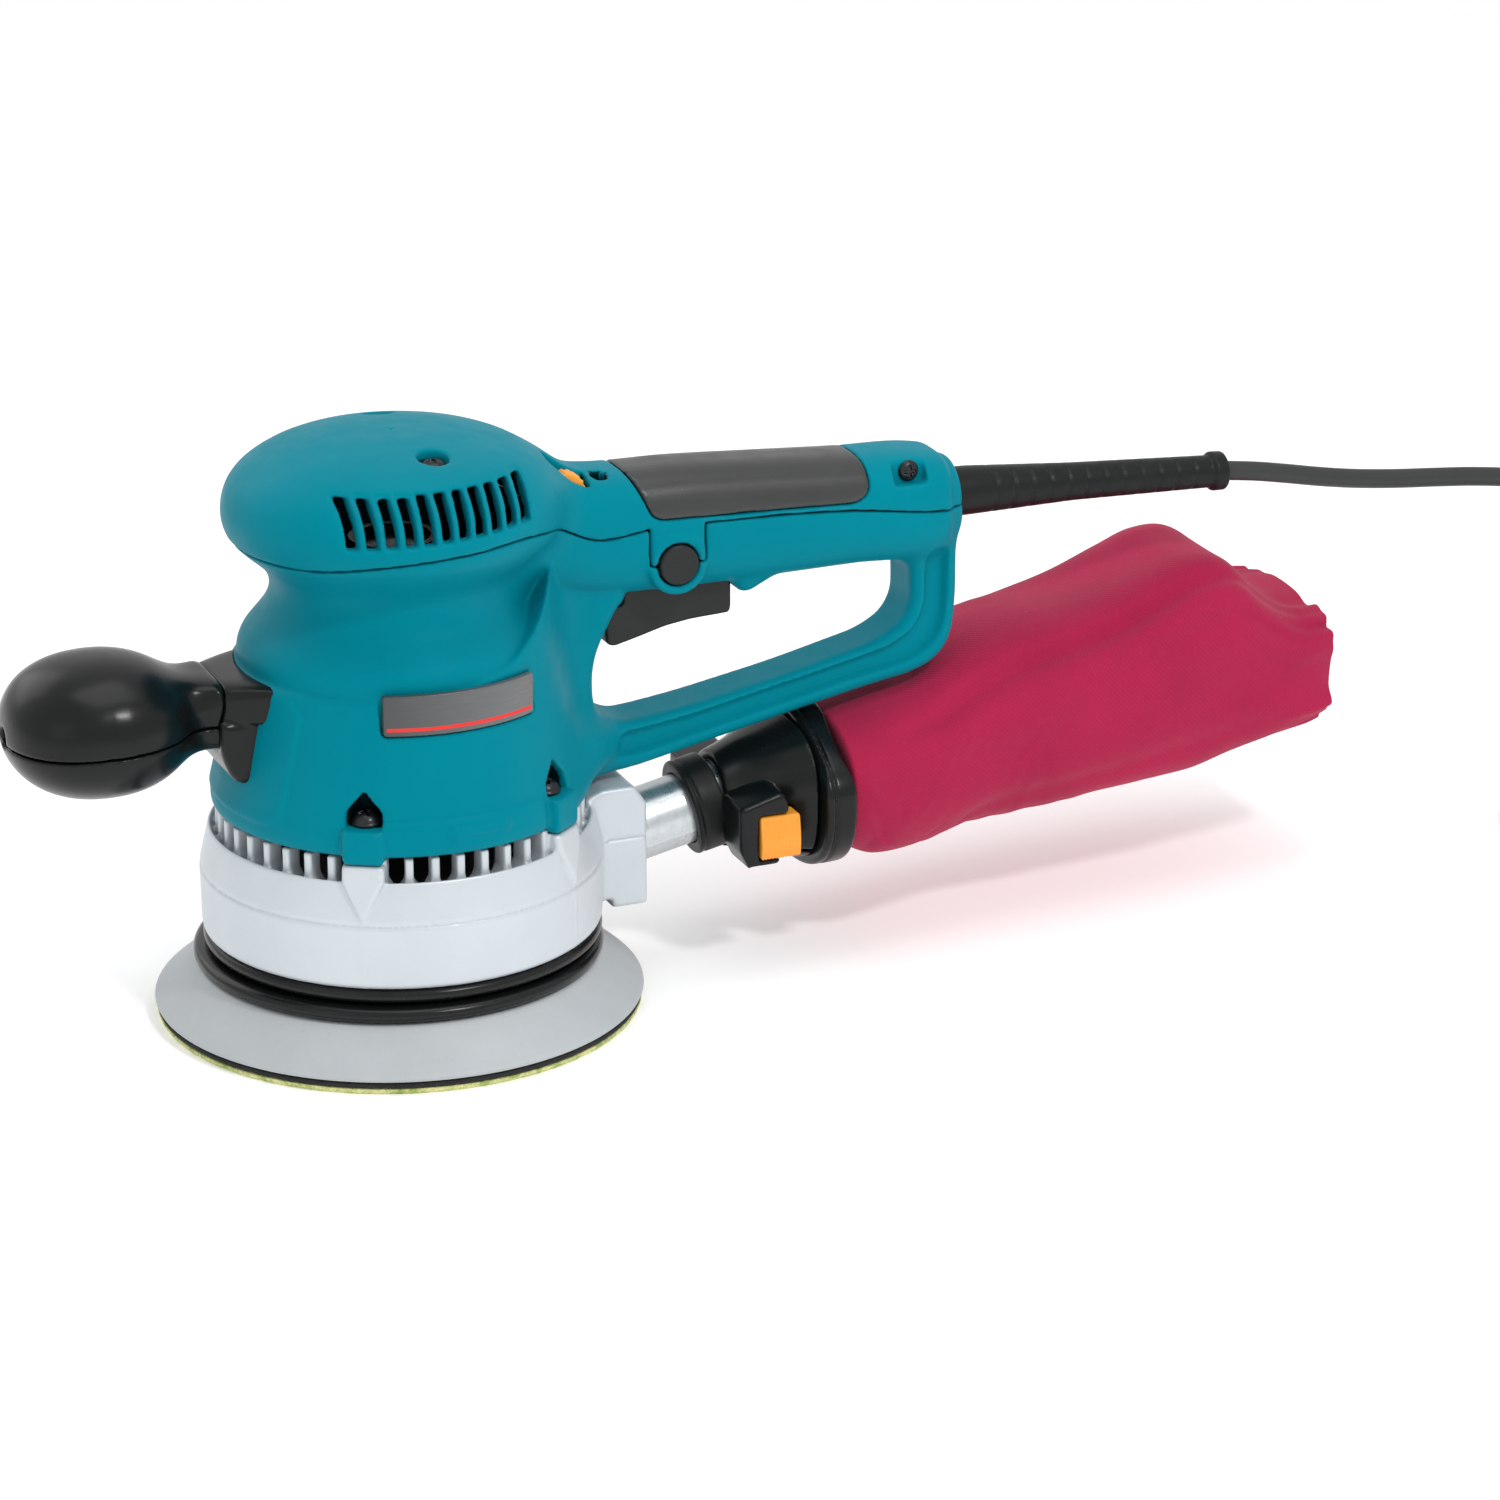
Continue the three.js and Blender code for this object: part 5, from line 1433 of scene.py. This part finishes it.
# ---- cord and its pieces ----
def add_relief():
    g = Block((170, -11, 129), (279, 11, 153), 0.42, 0.75)
    axis_z = np.interp(g.x[:, 0, 0], [172, 188, 224, 274, 278], [141, 140.8, 139.4, 137, 136.8])
    radius = np.interp(
        g.x[:, 0, 0], [172, 176.2, 176.3, 188, 224, 272, 273.2, 277.4, 277.6],
        [9.8, 9.8, 7.9, 7.7, 6.0, 5.2, 6.3, 6.2, 5.6],
    )
    r = np.hypot(g.y, g.z - axis_z[:, None, None].astype(np.float32))
    d = r - radius[:, None, None].astype(np.float32)
    d = meet(d, np.abs(g.x - 224.9) - 52.7, 0.8)
    ribs = (g.x > 192) & (g.x < 268)
    groove = np.abs((g.x - 192) % 6.4 - 3.2) - 0.55
    side = np.abs(np.abs(np.arctan2(g.y, g.z - axis_z[:, None, None])) - math.pi / 2) - 1.1
    mark = np.maximum(np.maximum(groove, -(d + 0.35)), side)
    d = np.where(ribs, cut(d, mark, 0.3), d)
    piece("strain_relief_sleeve", g, d, "rubber", "strain_relief")


def add_cord():
    line = smooth_line(cord_points(), 4)
    data = bpy.data.curves.new("mains_cord", "CURVE")
    data.dimensions = "3D"
    data.bevel_depth = CORD_R * MM
    data.bevel_resolution = 5
    data.use_fill_caps = True
    spline = data.splines.new("POLY")
    spline.points.add(len(line) - 1)
    spline.points.foreach_set(
        "co", np.hstack([line * MM, np.ones((len(line), 1))]).astype(np.float32).ravel(),
    )
    ob = bpy.data.objects.new("mains_cord", data)
    scene.collection.objects.link(ob)
    dress(ob, "cord_rubber", "tool", "rubber", "cord", "cord_coil")
    length = float(np.linalg.norm(np.diff(line, axis=0), axis=1).sum()) * MM
    return ob, length


def add_plug():
    x, y, z = 418, -2, 28.3
    g = Block((x - 2, y - 14, z - 11), (x + 36, y + 14, z + 11), 0.35, 0.6)
    d = loft(
        g,
        [(x, y, z, 4.4, 4.2, 2), (x + 8, y, z, 5.8, 5.4, 2), (x + 12, y, z, 7.6, 7, 2.4),
         (x + 16, y, z, 11, 8.6, 2.8), (x + 32, y, z, 11.8, 8.8, 3.2),
         (x + 34, y, z, 11.6, 8.6, 3.2)],
        1.0,
    )
    for n in range(3):
        at = x + 1.6 + 2.6 * n
        d = cut(d, np.maximum(np.abs(g.x - at) - 0.5, -(d + 0.7)), 0.3)
    grip = np.maximum(np.abs((g.x - x - 19) % 2.6 - 1.3) - 0.4, np.abs(g.x - x - 24) - 5)
    grip = np.maximum(grip, 9.6 - np.abs(g.y - y))
    d = cut(d, grip, 0.4)
    return piece("mains_plug", g, d, "rubber", "plug")


def add_pins():
    pins = []
    for n, side in ((1, -1), (2, 1)):
        y = -2 + side * 6.3
        g = Block((451, y - 4, 26), (471, y + 4, 31), 0.2, 0.3)
        d = box(g, (452.3, y - 3, 27.5), (469, y + 3, 29.1), 0.3)
        d = meet(d, (g.x - 469) + 0.6 * np.abs(g.y - y) - 0.4, 0.5)
        d = cut(d, rod(g, (465, y, 20), (465, y, 40), 1.4), 0.2)
        pins.append(piece(f"mains_plug_pin_{n}", g, d, "brass_parts", f"plug_pin_{n}", rounds=1))
    return pins


# ---- the object ----
dress_nodes()
cord, cord_length = add_cord()
plug = add_plug()
pins = add_pins()
add_relief()
add_housing()
add_badge()
add_casting()
add_nozzle()
add_pad()
add_knob()
add_handle_parts()
add_screws()
add_adaptor()
add_bag_frame()
add_bag()
add_studio()
